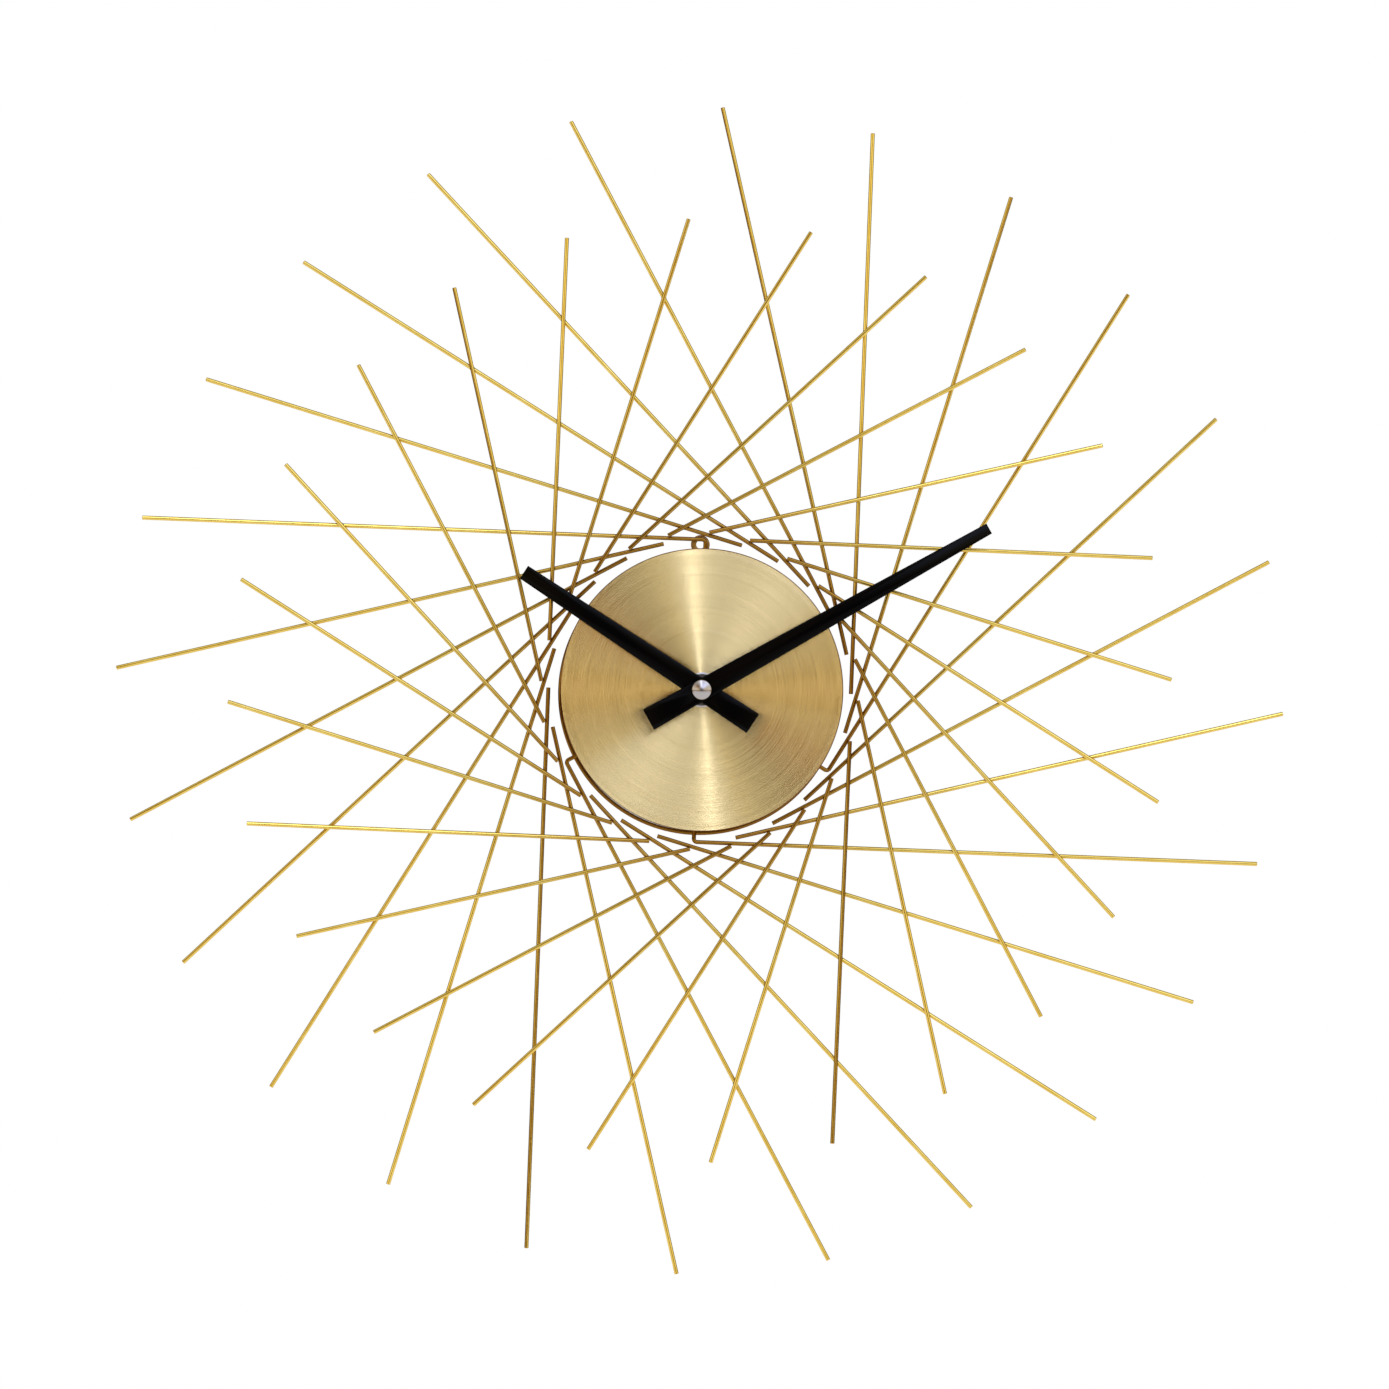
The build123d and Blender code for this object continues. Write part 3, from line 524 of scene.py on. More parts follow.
# ---- dial ------------------------------------------------------------
# A disc of sheet aluminium, anodised champagne and spun under a fine abrasive, so that its
# grooves run round the middle.  The rim is turned to a narrow bright bevel.
dial_r = 60.6 * mm
dial_hole_r = 4.1 * mm
dial_back_y = -18.7 * mm
dial_bevel = 0.3 * mm


def turned(profile, sides, closed=True):
    """A shape turned on the clock's axis: each (radius, depth) of the profile is carried round
    the Y axis, the radius times cosine along X and times sine along Z.  Either may be an array
    that changes on the way round.  An open profile starts and ends on the axis, in a point."""
    turn = np.linspace(0, 2 * math.pi, sides, endpoint=False)
    radius, depth = (np.stack([np.broadcast_to(row[k], sides) for row in profile]) for k in (0, 1))
    points = np.stack([radius * np.cos(turn), depth, radius * np.sin(turn)], axis=2).reshape(-1, 3)
    faces = grid_faces(len(profile), sides, closed)
    return points, faces if closed else pointed(faces, len(profile), sides)


face_rings = [(r, dial_front_y) for r in np.linspace(dial_hole_r, dial_r - dial_bevel, 24)]
back_rings = [(r, dial_back_y) for r in np.linspace(dial_r - dial_bevel / 3, dial_hole_r, 12)]
rim = [(dial_r - dial_bevel * 0.04, dial_front_y + dial_bevel * 0.9),
       (dial_r, dial_front_y + dial_bevel * 1.1), (dial_r, dial_back_y - dial_bevel / 3)]

# Anodised aluminium under a spinning finish.  Each fine groove leans a reflection outwards or
# inwards by its own slope, and keeps it narrow round the axis, so panels show as bright wedges.
# Grooves are 0.01 mm apart; faint lines about 0.5 mm apart show between them.  Over the last
# 0.45 mm to the rim, the bevel and the rim, the colour fades to a dark brown: painted shade.
groove_apart = 0.01 * mm
groove_slope = 0.5
spun_dial, tree = finish_named("spun_champagne_aluminium")
spot = add(tree, "TexCoord").outputs["Object"]
flat_spot = add(tree, "VectorMath", {0: spot, 1: (1.0, 0.0, 1.0)}, operation="MULTIPLY")
from_axis = add(tree, "VectorMath", {0: flat_spot}, operation="LENGTH")
line_run = add(tree, "Math", {0: from_axis.outputs["Value"], 1: 2000.0}, operation="MULTIPLY")
lines = add(tree, "TexNoise", {"W": line_run, "Scale": 1.0, "Detail": 4.0,
                               "Roughness": 0.7}, noise_dimensions="1D")
tone = add(tree, "ValToRGB", {0: lines})
fill_ramp(tone, [(0.25, "#E2C688"), (0.75, "#ECD096")])
gloss = add(tree, "MapRange", {0: lines, 3: 0.21, 4: 0.26})
groove_at = add(tree, "Math", {0: from_axis.outputs["Value"], 1: 1 / groove_apart},
                operation="MULTIPLY")
groove = add(tree, "Math", {0: groove_at}, operation="FLOOR")
next_groove = add(tree, "Math", {0: groove, 1: 0.5}, operation="ADD")
one_side = add(tree, "TexWhiteNoise", {"W": groove}, noise_dimensions="1D")
other_side = add(tree, "TexWhiteNoise", {"W": next_groove}, noise_dimensions="1D")
tilt = add(tree, "Math", {0: one_side.outputs["Value"], 1: other_side.outputs["Value"]},
           operation="SUBTRACT")
tilt = add(tree, "Math", {0: tilt, 1: groove_slope}, operation="MULTIPLY")
outward = add(tree, "VectorMath", {0: flat_spot}, operation="NORMALIZE")
leaning = add(tree, "VectorMath", {0: outward, "Scale": tilt},
              operation="SCALE")
upright = add(tree, "NewGeometry").outputs["Normal"]
scored = add(tree, "VectorMath", {0: upright, 1: leaning}, operation="ADD")
scored = add(tree, "VectorMath", {0: scored}, operation="NORMALIZE")
round_axis = add(tree, "Tangent", direction_type="RADIAL", axis="Y")
# Painted shade: a dark brown ring at the rim of the disc, for its shaded edge.
rim_shade_mask = add(tree, "MapRange", {0: from_axis.outputs["Value"], 1: dial_r - 0.45 * mm,
                                2: dial_r - 0.30 * mm})
tone_with_painted_rim_shade = add(tree, "Mix", {0: rim_shade_mask, 6: tone, 7: linear("#7A4E26")},
                data_type="RGBA")
metal = add(tree, "BsdfPrincipled", {"Base Color": tone_with_painted_rim_shade.outputs[2], "Metallic": 1.0,
                                     "Roughness": gloss,
                                     "Anisotropic": 1.0, "Anisotropic Rotation": 0.25,
                                     "Tangent": round_axis,
                                     "Normal": scored})
add(tree, "OutputMaterial", {0: metal})
new_piece("face", *turned(face_rings + rim + back_rings, 256), spun_dial, "clock_frame",
          "spun_dial", ["dial"], smooth_below=20.0)

# ---- stem nut and washer ---------------------------------------------
# A nickel-plated hexagon nut on a thin washer clamps the dial and strap to the movement's stem.
stem_r = 4.0 * mm
washer_r = 7.5 * mm
washer_front_y = -20.5 * mm
nut_front_y = -22.7 * mm
nut_half = 7.0 * mm
nut_crown_r = 6.85 * mm
nut_slope = math.tan(math.radians(30))
nut_lead_in = 0.35 * mm
nut_sides = 144

# Nickel plate, barrel-polished: a slightly grey, soft mirror with very light wiping marks.
nickel, tree = finish_named("barrel_polished_nickel")
spot = add(tree, "TexCoord").outputs["Object"]
wiping = add(tree, "TexNoise", {"Vector": spot, "Scale": 900.0, "Detail": 3.0})
gloss = add(tree, "MapRange", {0: wiping, 3: 0.16, 4: 0.26})
metal = add(tree, "BsdfPrincipled", {"Base Color": linear("#B4ACAA"), "Metallic": 1.0,
                                     "Roughness": gloss})
add(tree, "OutputMaterial", {0: metal})

washer = [(stem_r + 0.1 * mm, dial_front_y), (washer_r - 0.1 * mm, dial_front_y),
          (washer_r, dial_front_y - 0.1 * mm), (washer_r, washer_front_y + 0.2 * mm),
          (washer_r - 0.06 * mm, washer_front_y + 0.06 * mm),
          (washer_r - 0.2 * mm, washer_front_y), (stem_r + 0.1 * mm, washer_front_y)]
new_piece("washer", *turned(washer, 96), nickel, "clock_frame", "nickel", ["stem_washer"])

turn = np.linspace(0, 2 * math.pi, nut_sides, endpoint=False)
to_flat = (turn - math.pi / 2 + math.pi / 6) % (math.pi / 3) - math.pi / 6
hexagon = nut_half / np.cos(to_flat)
slopes_back = nut_front_y + np.maximum(hexagon - nut_crown_r, 0) * nut_slope
crown = np.minimum(hexagon - 0.05 * mm, nut_crown_r)
nut = [(stem_r, washer_front_y), (hexagon, washer_front_y), (hexagon, slopes_back),
       (crown, nut_front_y), (stem_r + nut_lead_in, nut_front_y),
       (stem_r, nut_front_y + nut_lead_in)]
new_piece("nut", *turned(nut, nut_sides), nickel, "clock_frame", "nickel", ["stem_nut"],
          smooth_below=25.0)

# ---- hands -----------------------------------------------------------
# Blanked from thin aluminium, tapered from a wide tail to a square tip, and sprayed with black
# lacquer.  Each is pressed on a turned brass bush.
hand_thick = 0.5 * mm
lacquer_edge = 0.1 * mm

# Satin black lacquer: almost no reflection face on, a soft grey sheen at a low angle, and a
# slight orange-peel of about 1 mm.
lacquer, tree = finish_named("satin_black_lacquer")
spot = add(tree, "TexCoord").outputs["Object"]
peel = add(tree, "TexNoise", {"Vector": spot, "Scale": 1000.0, "Detail": 2.0})
gloss = add(tree, "MapRange", {0: peel, 3: 0.14, 4: 0.20})
skin = add(tree, "Bump", {"Height": peel, "Strength": 0.03, "Distance": 0.0001})
coat = add(tree, "BsdfPrincipled", {"Base Color": linear("#030202"), "Roughness": gloss,
                                    "IOR": 1.45, "Specular IOR Level": 0.10,
                                    "Normal": skin})
add(tree, "OutputMaterial", {0: coat})


def hand(reach, tail, tip_wide, tail_wide, hole_r, back_y, clockwise):
    """A tapered bar from its tail to its tip, turned clockwise from twelve o'clock, with points
    about 2 mm apart along its outline."""
    corners = np.array([(-tail_wide / 2, -tail), (tail_wide / 2, -tail),
                        (tip_wide / 2, reach), (-tip_wide / 2, reach)])
    c = math.cos(math.radians(clockwise))
    s = math.sin(math.radians(clockwise))
    outline = spread(corners, 2 * mm) @ np.array([[c, -s], [s, c]])
    return pierced_plate(outline, np.zeros(2), hole_r, back_y, back_y - hand_thick, lacquer_edge)


new_piece("hour_blade", *hand(91.1 * mm, 26.2 * mm, 6.5 * mm, 9.7 * mm, 2.5 * mm, -24.6 * mm,
                              303.5),
          lacquer, "hour_group", "black_hands", ["hour_hand"])
new_piece("minute_blade", *hand(140.7 * mm, 26.1 * mm, 4.9 * mm, 10.0 * mm, 1.5 * mm,
                                -26.3 * mm, 60.7),
          lacquer, "minute_group", "black_hands", ["minute_hand"])

# ---- cap nut ---------------------------------------------------------
# A small turned and polished nut with a low dome and a rounded shoulder, screwed on the stud.
cap_r = 4.2 * mm
cap_back_y = -26.8 * mm
cap_front_y = -30.3 * mm
shoulder = 0.55 * mm
dome_high = 0.95 * mm
stud_r = 1.5 * mm
stud_back_y = cap_back_y - 2.0 * mm
dome_foot_r = cap_r - shoulder
sphere_r = (dome_foot_r ** 2 + dome_high ** 2) / (2 * dome_high)
dome_turn = np.linspace(0, math.asin(dome_foot_r / sphere_r), 14)
dome = [(sphere_r * math.sin(t), cap_front_y + sphere_r * (1 - math.cos(t))) for t in dome_turn]
corner_turn = np.linspace(math.radians(20), math.pi / 2, 7)
shoulder_at = (cap_r - shoulder, cap_front_y + dome_high + shoulder)
corner = [(shoulder_at[0] + shoulder * math.sin(t), shoulder_at[1] - shoulder * math.cos(t))
          for t in corner_turn]
skirt = [(cap_r, cap_back_y - 0.15 * mm), (cap_r - 0.15 * mm, cap_back_y),
         (stud_r, cap_back_y), (stud_r, stud_back_y), (0.0, stud_back_y)]
new_piece("cap", *turned(dome + corner + skirt, 96, closed=False), nickel, "minute_group",
          "nickel", ["cap_nut"], smooth_below=30.0)

# ---- bushes, arbor and rubber pad ------------------------------------
# Each hand is pressed on a turned brass bush, and the minute arbor with the cap's stud is turned
# from the same bar.  A rubber pad between the case and the strap takes up the dial's play.

# Free-cutting brass, left as turned: fine rings from the tool, about 0.08 mm apart, round Y.
turned_brass, tree = finish_named("turned_brass")
spot = add(tree, "TexCoord").outputs["Object"]
rings = add(tree, "TexWave", {"Vector": spot, "Scale": 3900.0, "Distortion": 0.4, "Detail": 1.0},
            wave_type="BANDS", bands_direction="Y")
tarnish = add(tree, "TexNoise", {"Vector": spot, "Scale": 420.0, "Detail": 3.0})
tone = add(tree, "ValToRGB", {0: tarnish})
fill_ramp(tone, [(0.35, "#C9A35A"), (0.70, "#DDBB74")])
tooling = add(tree, "Bump", {"Height": rings, "Strength": 0.12, "Distance": 0.00002})
metal = add(tree, "BsdfPrincipled", {"Base Color": tone, "Metallic": 1.0,
                                     "Roughness": 0.26, "Normal": tooling})
add(tree, "OutputMaterial", {0: metal})
finish_cad(turned_brass, "hour_bush", "minute_bush", "minute_arbor")

# Black nitrile rubber cut from sheet: matt, with a fine cloth-pressed grain of about 0.4 mm.
rubber, tree = finish_named("black_nitrile_rubber")
spot = add(tree, "TexCoord").outputs["Object"]
cloth = add(tree, "TexVoronoi", {"Vector": spot, "Scale": 2500.0})
bloom = add(tree, "TexNoise", {"Vector": spot, "Scale": 300.0, "Detail": 4.0})
tone = add(tree, "ValToRGB", {0: bloom})
fill_ramp(tone, [(0.35, "#151515"), (0.75, "#222120")])
grain = add(tree, "Bump", {"Height": cloth, "Strength": 0.35, "Distance": 0.00005})
skin = add(tree, "BsdfPrincipled", {"Base Color": tone, "Roughness": 0.82,
                                    "IOR": 1.5, "Normal": grain})
add(tree, "OutputMaterial", {0: skin})
finish_cad(rubber, "seal_pad")

# ---- movement case ---------------------------------------------------
# The case of a battery quartz movement, injection-moulded in black ABS with the threaded stem in
# one piece.  Its outside is lightly spark-eroded so that scratches and sink marks don't show.

# Black ABS from a spark-eroded tool: a pebbled grain about 0.2 mm across, satin, and slightly
# shinier in patches where it has been handled.
black_abs, tree = finish_named("spark_eroded_black_abs")
spot = add(tree, "TexCoord").outputs["Object"]
pebbles = add(tree, "TexNoise", {"Vector": spot, "Scale": 4500.0, "Detail": 2.0})
wear = add(tree, "TexNoise", {"Vector": spot, "Scale": 110.0, "Detail": 3.0})
tone = add(tree, "ValToRGB", {0: wear})
fill_ramp(tone, [(0.30, "#1B1B1C"), (0.75, "#272728")])
gloss = add(tree, "MapRange", {0: wear, 3: 0.58, 4: 0.42})
grain = add(tree, "Bump", {"Height": pebbles, "Strength": 0.35, "Distance": 0.00006})
moulded = add(tree, "BsdfPrincipled", {"Base Color": tone, "Roughness": gloss,
                                       "IOR": 1.53, "Normal": grain})
add(tree, "OutputMaterial", {0: moulded})
finish_cad(black_abs, "movement_case")


def band(path, wide, back_y, front_y, closed=False):
    """A flat bar along a path: at every point four corners, half the width there to each side at
    both depths.  The bar of an open path is closed with a flat face at each end."""
    path = np.asarray(path)
    ahead = unit(run_of(path, closed))
    half = np.broadcast_to(wide, len(path))[:, None] / 2
    side = np.stack([-ahead[:, 1], ahead[:, 0]], axis=1) * half
    points = stood([(path + side, back_y), (path + side, front_y), (path - side, front_y),
                    (path - side, back_y)], axis=1)
    faces = grid_faces(len(path), 4, closed)
    if not closed:
        last = 4 * (len(path) - 1)
        faces = np.concatenate([faces, [[0, 1, 2, 3]], [[last + 3, last + 2, last + 1, last]]])
    return points, faces


def arc(centre, radius, start, end, steps=24):
    """Points on a circle between two angles in degrees, anticlockwise from three o'clock."""
    turn = np.radians(np.linspace(start, end, steps))
    return np.asarray(centre) + radius * np.stack([np.cos(turn), np.sin(turn)], axis=1)


def rounded_box(low, high, corner, steps=6):
    """The outline of an upright rectangle with round corners, anticlockwise from the right."""
    (left, bottom), (right, top) = low, high
    hubs = [(right - corner, top - corner, 0), (left + corner, top - corner, 90),
            (left + corner, bottom + corner, 180), (right - corner, bottom + corner, 270)]
    return np.concatenate([arc((x, z), corner, start, start + 90, steps) for x, z, start in hubs])


# Ribs under the fingers on the left and right walls.
case_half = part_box("movement_case")[1][0]
rib_proud = 0.35 * mm
ribs = []
for side in (-1, 1):
    for z in np.arange(8.0, 22.1, 2.0) * mm:
        wall = [(side * (case_half - 0.2 * mm), z), (side * (case_half + rib_proud), z)]
        ribs.append(band(wall, 0.7 * mm, -3.2 * mm, -13.6 * mm))
new_piece("case_ribs", *joined(ribs), black_abs, "clock_frame", "black_case")

# ---- rear cover ------------------------------------------------------
# A thin moulded plate that snaps over the wheels.  Its rim, the collar round the setting knob,
# the arrows beside it and the signs for the battery's ends stand a little above its flat.
cover_low, cover_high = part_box("rear_cover")
cover_front_y = -1.2 * mm
cover_flat_y = -0.18 * mm
cover_bottom = cover_low[2]
cover_top = cover_high[2]
knob_at = np.array([12.0, 0.0]) * mm
knob_hole_r = 6.9 * mm
corner_r = 3.0 * mm
rim_in = 0.9 * mm
line_wide = 0.7 * mm
arrow_r = 10.2 * mm
cover_shape = rounded_box((-case_half, cover_bottom), (case_half, cover_top), corner_r)
cover_shape[cover_shape[:, 1] < cover_bottom + corner_r, 1] = cover_bottom
lowest = np.isclose(cover_shape[:, 1], cover_bottom)
cover_shape[lowest, 0] = np.sign(cover_shape[lowest, 0]) * case_half
cover_shape = cover_shape[np.append(True, np.linalg.norm(np.diff(cover_shape, axis=0), axis=1)
                                    > 1e-7)]
cover_shape = spread(cover_shape, 2.0 * mm)
cover_parts = [pierced_plate(cover_shape, knob_at, knob_hole_r, cover_flat_y, cover_front_y,
                             0.2 * mm)]
sunk_y = cover_flat_y - 0.3 * mm
rim_path = rounded_box((-case_half + rim_in, cover_bottom + rim_in),
                       (case_half - rim_in, cover_top - rim_in), corner_r - rim_in)
cover_parts.append(band(rim_path, 0.8 * mm, 0.0, sunk_y, closed=True))
cover_parts.append(band(arc(knob_at, knob_hole_r + 0.75 * mm, 0, 360, 73)[:-1], 0.9 * mm, 0.0,
                        sunk_y, closed=True))
for start in (35, 215):
    cover_parts.append(band(arc(knob_at, arrow_r, start, start + 62), line_wide, 0.0, sunk_y))
    tip = arc(knob_at, arrow_r, start + 62, start + 76, 8)
    cover_parts.append(band(tip, np.linspace(2.2, 0.1, 8) * mm, 0.0, sunk_y))
sign_z = cover_bottom + 3.6 * mm
for bar in ([(-22.6, 0), (-19.4, 0)], [(19.4, 0), (22.6, 0)]):
    cover_parts.append(band(np.array(bar) * mm + [0, sign_z], line_wide, 0.0, sunk_y))
for low, high in ((-1.6, -0.35), (0.35, 1.6)):
    post = np.array([(-21.0, low), (-21.0, high)]) * mm + [0, sign_z]
    cover_parts.append(band(post, line_wide, 0.0, sunk_y))
for side in (-1, 1):
    for z in (4.0 * mm, 16.0 * mm):
        tongue = [(side * 25.6 * mm, z), (side * 26.4 * mm, z)]
        cover_parts.append(band(tongue, 6.0 * mm, -1.1 * mm, -4.2 * mm))
new_piece("cover", *joined(cover_parts), black_abs, "clock_frame", "black_case", ["rear_cover"])

# ---- setting knob ----------------------------------------------------
# A small fluted wheel let into the cover, moulded in grey-black acetal.  A bar across its dished
# back gives the finger a hold.
knob_r = 6.5 * mm
flutes = 18
flute_deep = 0.42 * mm
knob_back_y = -0.1 * mm
knob_front_y = -2.0 * mm

# Acetal, slightly waxy: semi-gloss, with a faint flow pattern of about 2 mm.
acetal, tree = finish_named("grey_black_acetal")
spot = add(tree, "TexCoord").outputs["Object"]
flow = add(tree, "TexNoise", {"Vector": spot, "Scale": 500.0, "Detail": 4.0, "Distortion": 1.2})
tone = add(tree, "ValToRGB", {0: flow})
fill_ramp(tone, [(0.30, "#2B2B2D"), (0.75, "#38383A")])
gloss = add(tree, "MapRange", {0: flow, 3: 0.30, 4: 0.44})
waxy = add(tree, "BsdfPrincipled", {"Base Color": tone, "Roughness": gloss,
                                    "IOR": 1.48})
add(tree, "OutputMaterial", {0: waxy})

knob_sides = 12 * flutes
turn = np.linspace(0, 2 * math.pi, knob_sides, endpoint=False)
fluted = knob_r - flute_deep * (0.5 - 0.5 * np.cos(flutes * turn)) ** 3
knob = [(0.0, knob_back_y - 0.55 * mm), (4.6 * mm, knob_back_y - 0.55 * mm),
        (4.9 * mm, knob_back_y - 0.40 * mm), (5.1 * mm, knob_back_y - 0.04 * mm),
        (5.25 * mm, knob_back_y), (fluted - 0.25 * mm, knob_back_y),
        (fluted - 0.07 * mm, knob_back_y - 0.07 * mm), (fluted, knob_back_y - 0.25 * mm),
        (fluted, knob_front_y + 0.2 * mm), (fluted - 0.2 * mm, knob_front_y),
        (0.0, knob_front_y)]
points, faces = turned(knob, knob_sides, closed=False)
points = points + [knob_at[0], 0.0, knob_at[1]]
hold = band([knob_at + np.array([x, 0.45 * x]) * mm for x in (-4.2, 0.0, 4.2)], 1.5 * mm,
            knob_back_y - 0.02 * mm, knob_back_y - 0.8 * mm)
new_piece("knob", *joined([(points, faces), hold]), acetal, "setting_group", "knob_plastic",
          ["setting_knob"])

# ---- battery ---------------------------------------------------------
# An AA alkaline cell: a drawn steel can in a shrunk plastic sleeve, which folds over the rims at
# both ends.  The sleeve is plain, dark blue with a grey band at the positive end.
cell_low, cell_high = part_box("battery_cell")
cell_r = 7.25 * mm
cell_at_y = (cell_low[1] + cell_high[1]) / 2
cell_at_z = (cell_low[2] + cell_high[2]) / 2
cell_plus_x = cell_low[0]
cell_minus_x = cell_high[0]
fold = np.linspace(0, math.pi / 2, 7)
fold_r = 0.6 * mm


def lying(profile, sides):
    """A shape turned on the cell's axis: every (radius, place along X) point is carried round."""
    points, faces = turned(profile, sides, closed=False)
    return points[:, [1, 0, 2]] + [0.0, cell_at_y, cell_at_z], faces


sleeve_profile = [(0.0, cell_plus_x + 0.5 * mm), (5.7 * mm, cell_plus_x + 0.5 * mm),
                  (5.75 * mm, cell_plus_x + 0.12 * mm), (5.9 * mm, cell_plus_x)]
sleeve_profile += [(cell_r - fold_r * (1 - math.sin(t)), cell_plus_x + fold_r * (1 - math.cos(t)))
                   for t in fold]
sleeve_profile += [(cell_r, x) for x in np.linspace(cell_plus_x + 1.5 * mm,
                                                    cell_minus_x - 1.5 * mm, 10)]
sleeve_profile += [(cell_r - fold_r * (1 - math.cos(t)), cell_minus_x - fold_r * (1 - math.sin(t)))
                   for t in fold]
sleeve_profile += [(5.9 * mm, cell_minus_x), (5.75 * mm, cell_minus_x - 0.12 * mm),
                   (5.7 * mm, cell_minus_x - 0.3 * mm), (0.0, cell_minus_x - 0.3 * mm)]

# Shrunk PVC film: glossy, with faint stretch marks along the cell and bare nickel-plated steel
# where it ends, 5.8 mm from the middle.
sleeve, tree = finish_named("shrunk_pvc_sleeve")
spot = add(tree, "TexCoord").outputs["Object"]
middle = add(tree, "VectorMath", {0: spot, 1: (0.0, cell_at_y, cell_at_z)}, operation="SUBTRACT")
across = add(tree, "VectorMath", {0: middle, 1: (0.0, 1.0, 1.0)}, operation="MULTIPLY")
out = add(tree, "VectorMath", {0: across}, operation="LENGTH")
bare = add(tree, "MapRange", {0: out.outputs["Value"], 1: 5.86 * mm, 2: 5.80 * mm})
along = add(tree, "SeparateXYZ", {0: spot}).outputs["X"]
banded = add(tree, "MapRange", {0: along, 1: cell_plus_x + 7.95 * mm, 2: cell_plus_x + 8.05 * mm})
stretched = add(tree, "VectorMath", {0: spot, 1: (60.0, 900.0, 900.0)}, operation="MULTIPLY")
marks = add(tree, "TexNoise", {"Vector": stretched, "Scale": 1.0, "Detail": 3.0})
film = add(tree, "Mix", {0: banded, 6: linear("#8F9496"), 7: linear("#16324C")},
           data_type="RGBA")
film = add(tree, "Mix", {0: bare, 6: film.outputs[2], 7: linear("#C9C7C2")},
           data_type="RGBA")
gloss = add(tree, "MapRange", {0: marks, 3: 0.16, 4: 0.30})
creases = add(tree, "Bump", {"Height": marks, "Strength": 0.10, "Distance": 0.00005})
skin = add(tree, "BsdfPrincipled", {"Base Color": film.outputs[2], "Metallic": bare,
                                    "Roughness": gloss, "IOR": 1.54,
                                    "Normal": creases})
add(tree, "OutputMaterial", {0: skin})
new_piece("battery", *lying(sleeve_profile, 96), sleeve, "clock_frame", "cell_sleeve",
          ["battery_cell"], smooth_below=40.0)

nub_end_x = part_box("battery_nub")[0][0]
nub_r = 2.75 * mm
nub_profile = [(0.0, nub_end_x), (nub_r - 0.35 * mm, nub_end_x),
               (nub_r - 0.1 * mm, nub_end_x + 0.1 * mm), (nub_r, nub_end_x + 0.35 * mm),
               (nub_r, cell_plus_x + 0.5 * mm), (0.0, cell_plus_x + 0.5 * mm)]

# Nickel-plated strip steel, pressed and sprung: bright, with fine rolling lines about 0.1 mm
# apart and small dull spots from handling.
plated_spring, tree = finish_named("nickel_plated_spring_steel")
spot = add(tree, "TexCoord").outputs["Object"]
drawn = add(tree, "VectorMath", {0: spot, 1: (400.0, 9000.0, 9000.0)}, operation="MULTIPLY")
rolling = add(tree, "TexNoise", {"Vector": drawn, "Scale": 1.0, "Detail": 2.0})
dull = add(tree, "TexNoise", {"Vector": spot, "Scale": 600.0, "Detail": 3.0})
tone = add(tree, "ValToRGB", {0: dull})
fill_ramp(tone, [(0.35, "#B9B6AE"), (0.65, "#D3D0C8")])
gloss = add(tree, "MapRange", {0: rolling, 3: 0.20, 4: 0.38})
metal = add(tree, "BsdfPrincipled", {"Base Color": tone, "Metallic": 1.0,
                                     "Roughness": gloss})
add(tree, "OutputMaterial", {0: metal})
new_piece("battery_tip", *lying(nub_profile, 64), plated_spring, "clock_frame", "cell_cap",
          ["battery_nub"], smooth_below=40.0)
finish_cad(plated_spring, "plus_contact", "minus_contact", "plate_screws")

# ---- circuit board ---------------------------------------------------
# A small board with a drop of black resin over its chip and a crystal in a drawn can beside it.

# Green solder mask on glass epoxy: glossy, with a weave of about 0.5 mm showing faintly.
solder_mask, tree = finish_named("green_solder_mask")
spot = add(tree, "TexCoord").outputs["Object"]
weave_x = add(tree, "TexWave", {"Vector": spot, "Scale": 630.0}, bands_direction="X")
weave_z = add(tree, "TexWave", {"Vector": spot, "Scale": 630.0}, bands_direction="Z")
weave = add(tree, "Math", {0: weave_x.outputs[1], 1: weave_z.outputs[1]}, operation="MULTIPLY")
tone = add(tree, "ValToRGB", {0: weave})
fill_ramp(tone, [(0.0, "#12492C"), (1.0, "#1B5E39")])
coated = add(tree, "BsdfPrincipled", {"Base Color": tone, "Roughness": 0.24,
                                      "IOR": 1.5})
add(tree, "OutputMaterial", {0: coated})
finish_cad(solder_mask, "circuit_board")

# Black epoxy resin, poured: a smooth skin with slow ripples.
resin, tree = finish_named("poured_black_resin")
spot = add(tree, "TexCoord").outputs["Object"]
ripples = add(tree, "TexNoise", {"Vector": spot, "Scale": 700.0, "Detail": 1.0})
poured = add(tree, "Bump", {"Height": ripples, "Strength": 0.3, "Distance": 0.0001})
gloss = add(tree, "MapRange", {0: ripples, 3: 0.22, 4: 0.36})
skin = add(tree, "BsdfPrincipled", {"Base Color": linear("#0E0E0F"), "Roughness": gloss,
                                    "IOR": 1.55, "Normal": poured})
add(tree, "OutputMaterial", {0: skin})
finish_cad(resin, "timing_chip")

# A tin-plated brass can, deep drawn: bright, with faint lines along it.
drawn_can, tree = finish_named("tinned_drawn_can")
spot = add(tree, "TexCoord").outputs["Object"]
drawn = add(tree, "VectorMath", {0: spot, 1: (6000.0, 6000.0, 300.0)}, operation="MULTIPLY")
scores = add(tree, "TexNoise", {"Vector": drawn, "Scale": 1.0, "Detail": 2.0})
gloss = add(tree, "MapRange", {0: scores, 3: 0.14, 4: 0.32})
metal = add(tree, "BsdfPrincipled", {"Base Color": linear("#C8C9CB"), "Metallic": 1.0,
                                     "Roughness": gloss})
add(tree, "OutputMaterial", {0: metal})
finish_cad(drawn_can, "quartz_can")

# ---- motor -----------------------------------------------------------
# A stamped stator and a core through a wound bobbin turn a ferrite rotor half a turn a second.

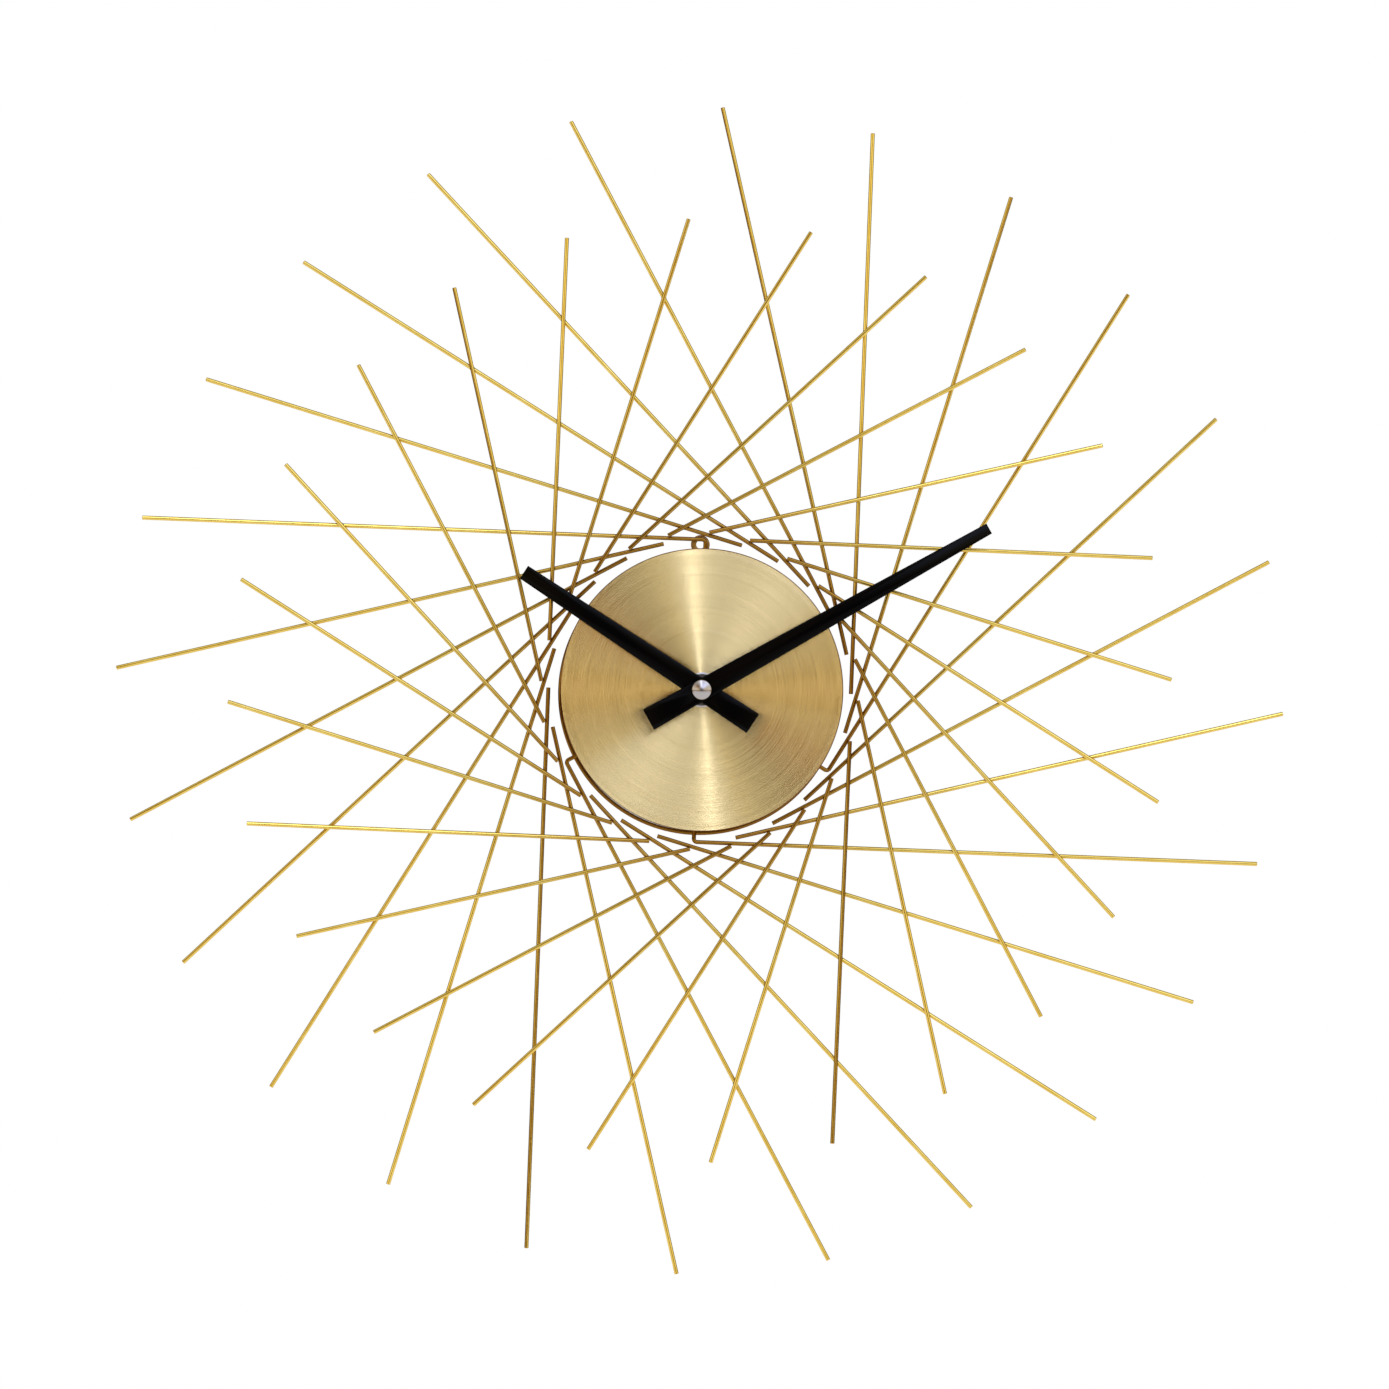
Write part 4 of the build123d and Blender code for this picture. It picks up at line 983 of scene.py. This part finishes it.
# Annealed nickel-iron sheet: dull grey, with a soft mottle of about 1 mm from the furnace.
annealed_iron, tree = finish_named("annealed_nickel_iron")
spot = add(tree, "TexCoord").outputs["Object"]
furnace = add(tree, "TexNoise", {"Vector": spot, "Scale": 1000.0, "Detail": 4.0})
tone = add(tree, "ValToRGB", {0: furnace})
fill_ramp(tone, [(0.30, "#85827E"), (0.70, "#A09D98")])
metal = add(tree, "BsdfPrincipled", {"Base Color": tone, "Metallic": 1.0,
                                     "Roughness": 0.45})
add(tree, "OutputMaterial", {0: metal})
finish_cad(annealed_iron, "stator", "coil_core")

# Enamelled copper wire wound in neat layers.  The real wire is 0.03 mm; the turns are drawn
# 0.15 mm apart, so that they show.
copper, tree = finish_named("enamelled_copper_turns")
spot = add(tree, "TexCoord").outputs["Object"]
turns = add(tree, "TexWave", {"Vector": spot, "Scale": 2100.0, "Distortion": 0.2},
            bands_direction="Z")
tone = add(tree, "ValToRGB", {0: turns.outputs[1]})
fill_ramp(tone, [(0.15, "#7A3A1E"), (0.65, "#C46A38")])
wound = add(tree, "Bump", {"Height": turns.outputs[1], "Strength": 0.6, "Distance": 0.00006})
metal = add(tree, "BsdfPrincipled", {"Base Color": tone, "Metallic": 1.0,
                                     "Roughness": 0.3, "Coat Weight": 0.6,
                                     "Normal": wound})
add(tree, "OutputMaterial", {0: metal})
finish_cad(copper, "coil_winding")

# Sintered ferrite: dark grey and dry, with grains of about 0.1 mm.
ferrite, tree = finish_named("sintered_ferrite")
spot = add(tree, "TexCoord").outputs["Object"]
grains = add(tree, "TexVoronoi", {"Vector": spot, "Scale": 9000.0})
tone = add(tree, "ValToRGB", {0: grains})
fill_ramp(tone, [(0.1, "#2A2A2C"), (0.9, "#3D3C3C")])
sintered = add(tree, "BsdfPrincipled", {"Base Color": tone, "Metallic": 0.4,
                                        "Roughness": 0.62})
add(tree, "OutputMaterial", {0: sintered})
finish_cad(ferrite, "rotor_magnet")

# ---- wheels and train plate ------------------------------------------
# The wheels, the bobbin and the plate over them are moulded in unfilled acetal and nylon, which
# run on each other without oil.

# Natural acetal: milky white, slightly see-through at thin teeth, with soft flow lines.
milky, tree = finish_named("natural_acetal")
spot = add(tree, "TexCoord").outputs["Object"]
flow = add(tree, "TexNoise", {"Vector": spot, "Scale": 650.0, "Detail": 3.0, "Distortion": 0.8})
tone = add(tree, "ValToRGB", {0: flow})
fill_ramp(tone, [(0.30, "#DDD9CE"), (0.75, "#EDEAE1")])
waxy = add(tree, "BsdfPrincipled", {"Base Color": tone, "Roughness": 0.36,
                                    "IOR": 1.48, "Subsurface Weight": 0.25,
                                    "Subsurface Scale": 0.0006})
add(tree, "OutputMaterial", {0: waxy})
finish_cad(milky, "centre_wheel", "third_wheel", "seconds_wheel", "fifth_wheel", "rotor_pinion",
           "minute_wheel", "hour_wheel", "coil_bobbin")

# Grey-white nylon plate: harder and duller than the wheels, with a fine ground texture.
nylon, tree = finish_named("natural_nylon_plate")
spot = add(tree, "TexCoord").outputs["Object"]
ground = add(tree, "TexNoise", {"Vector": spot, "Scale": 3200.0, "Detail": 2.0})
tone = add(tree, "ValToRGB", {0: ground})
fill_ramp(tone, [(0.30, "#C4C2BB"), (0.75, "#D2D0C9")])
rough = add(tree, "Bump", {"Height": ground, "Strength": 0.2, "Distance": 0.00004})
plain = add(tree, "BsdfPrincipled", {"Base Color": tone, "Roughness": 0.52,
                                     "IOR": 1.53, "Normal": rough})
add(tree, "OutputMaterial", {0: plain})
finish_cad(nylon, "train_plate")

# ---- view layer update -----------------------------------------------
bpy.context.view_layer.update()
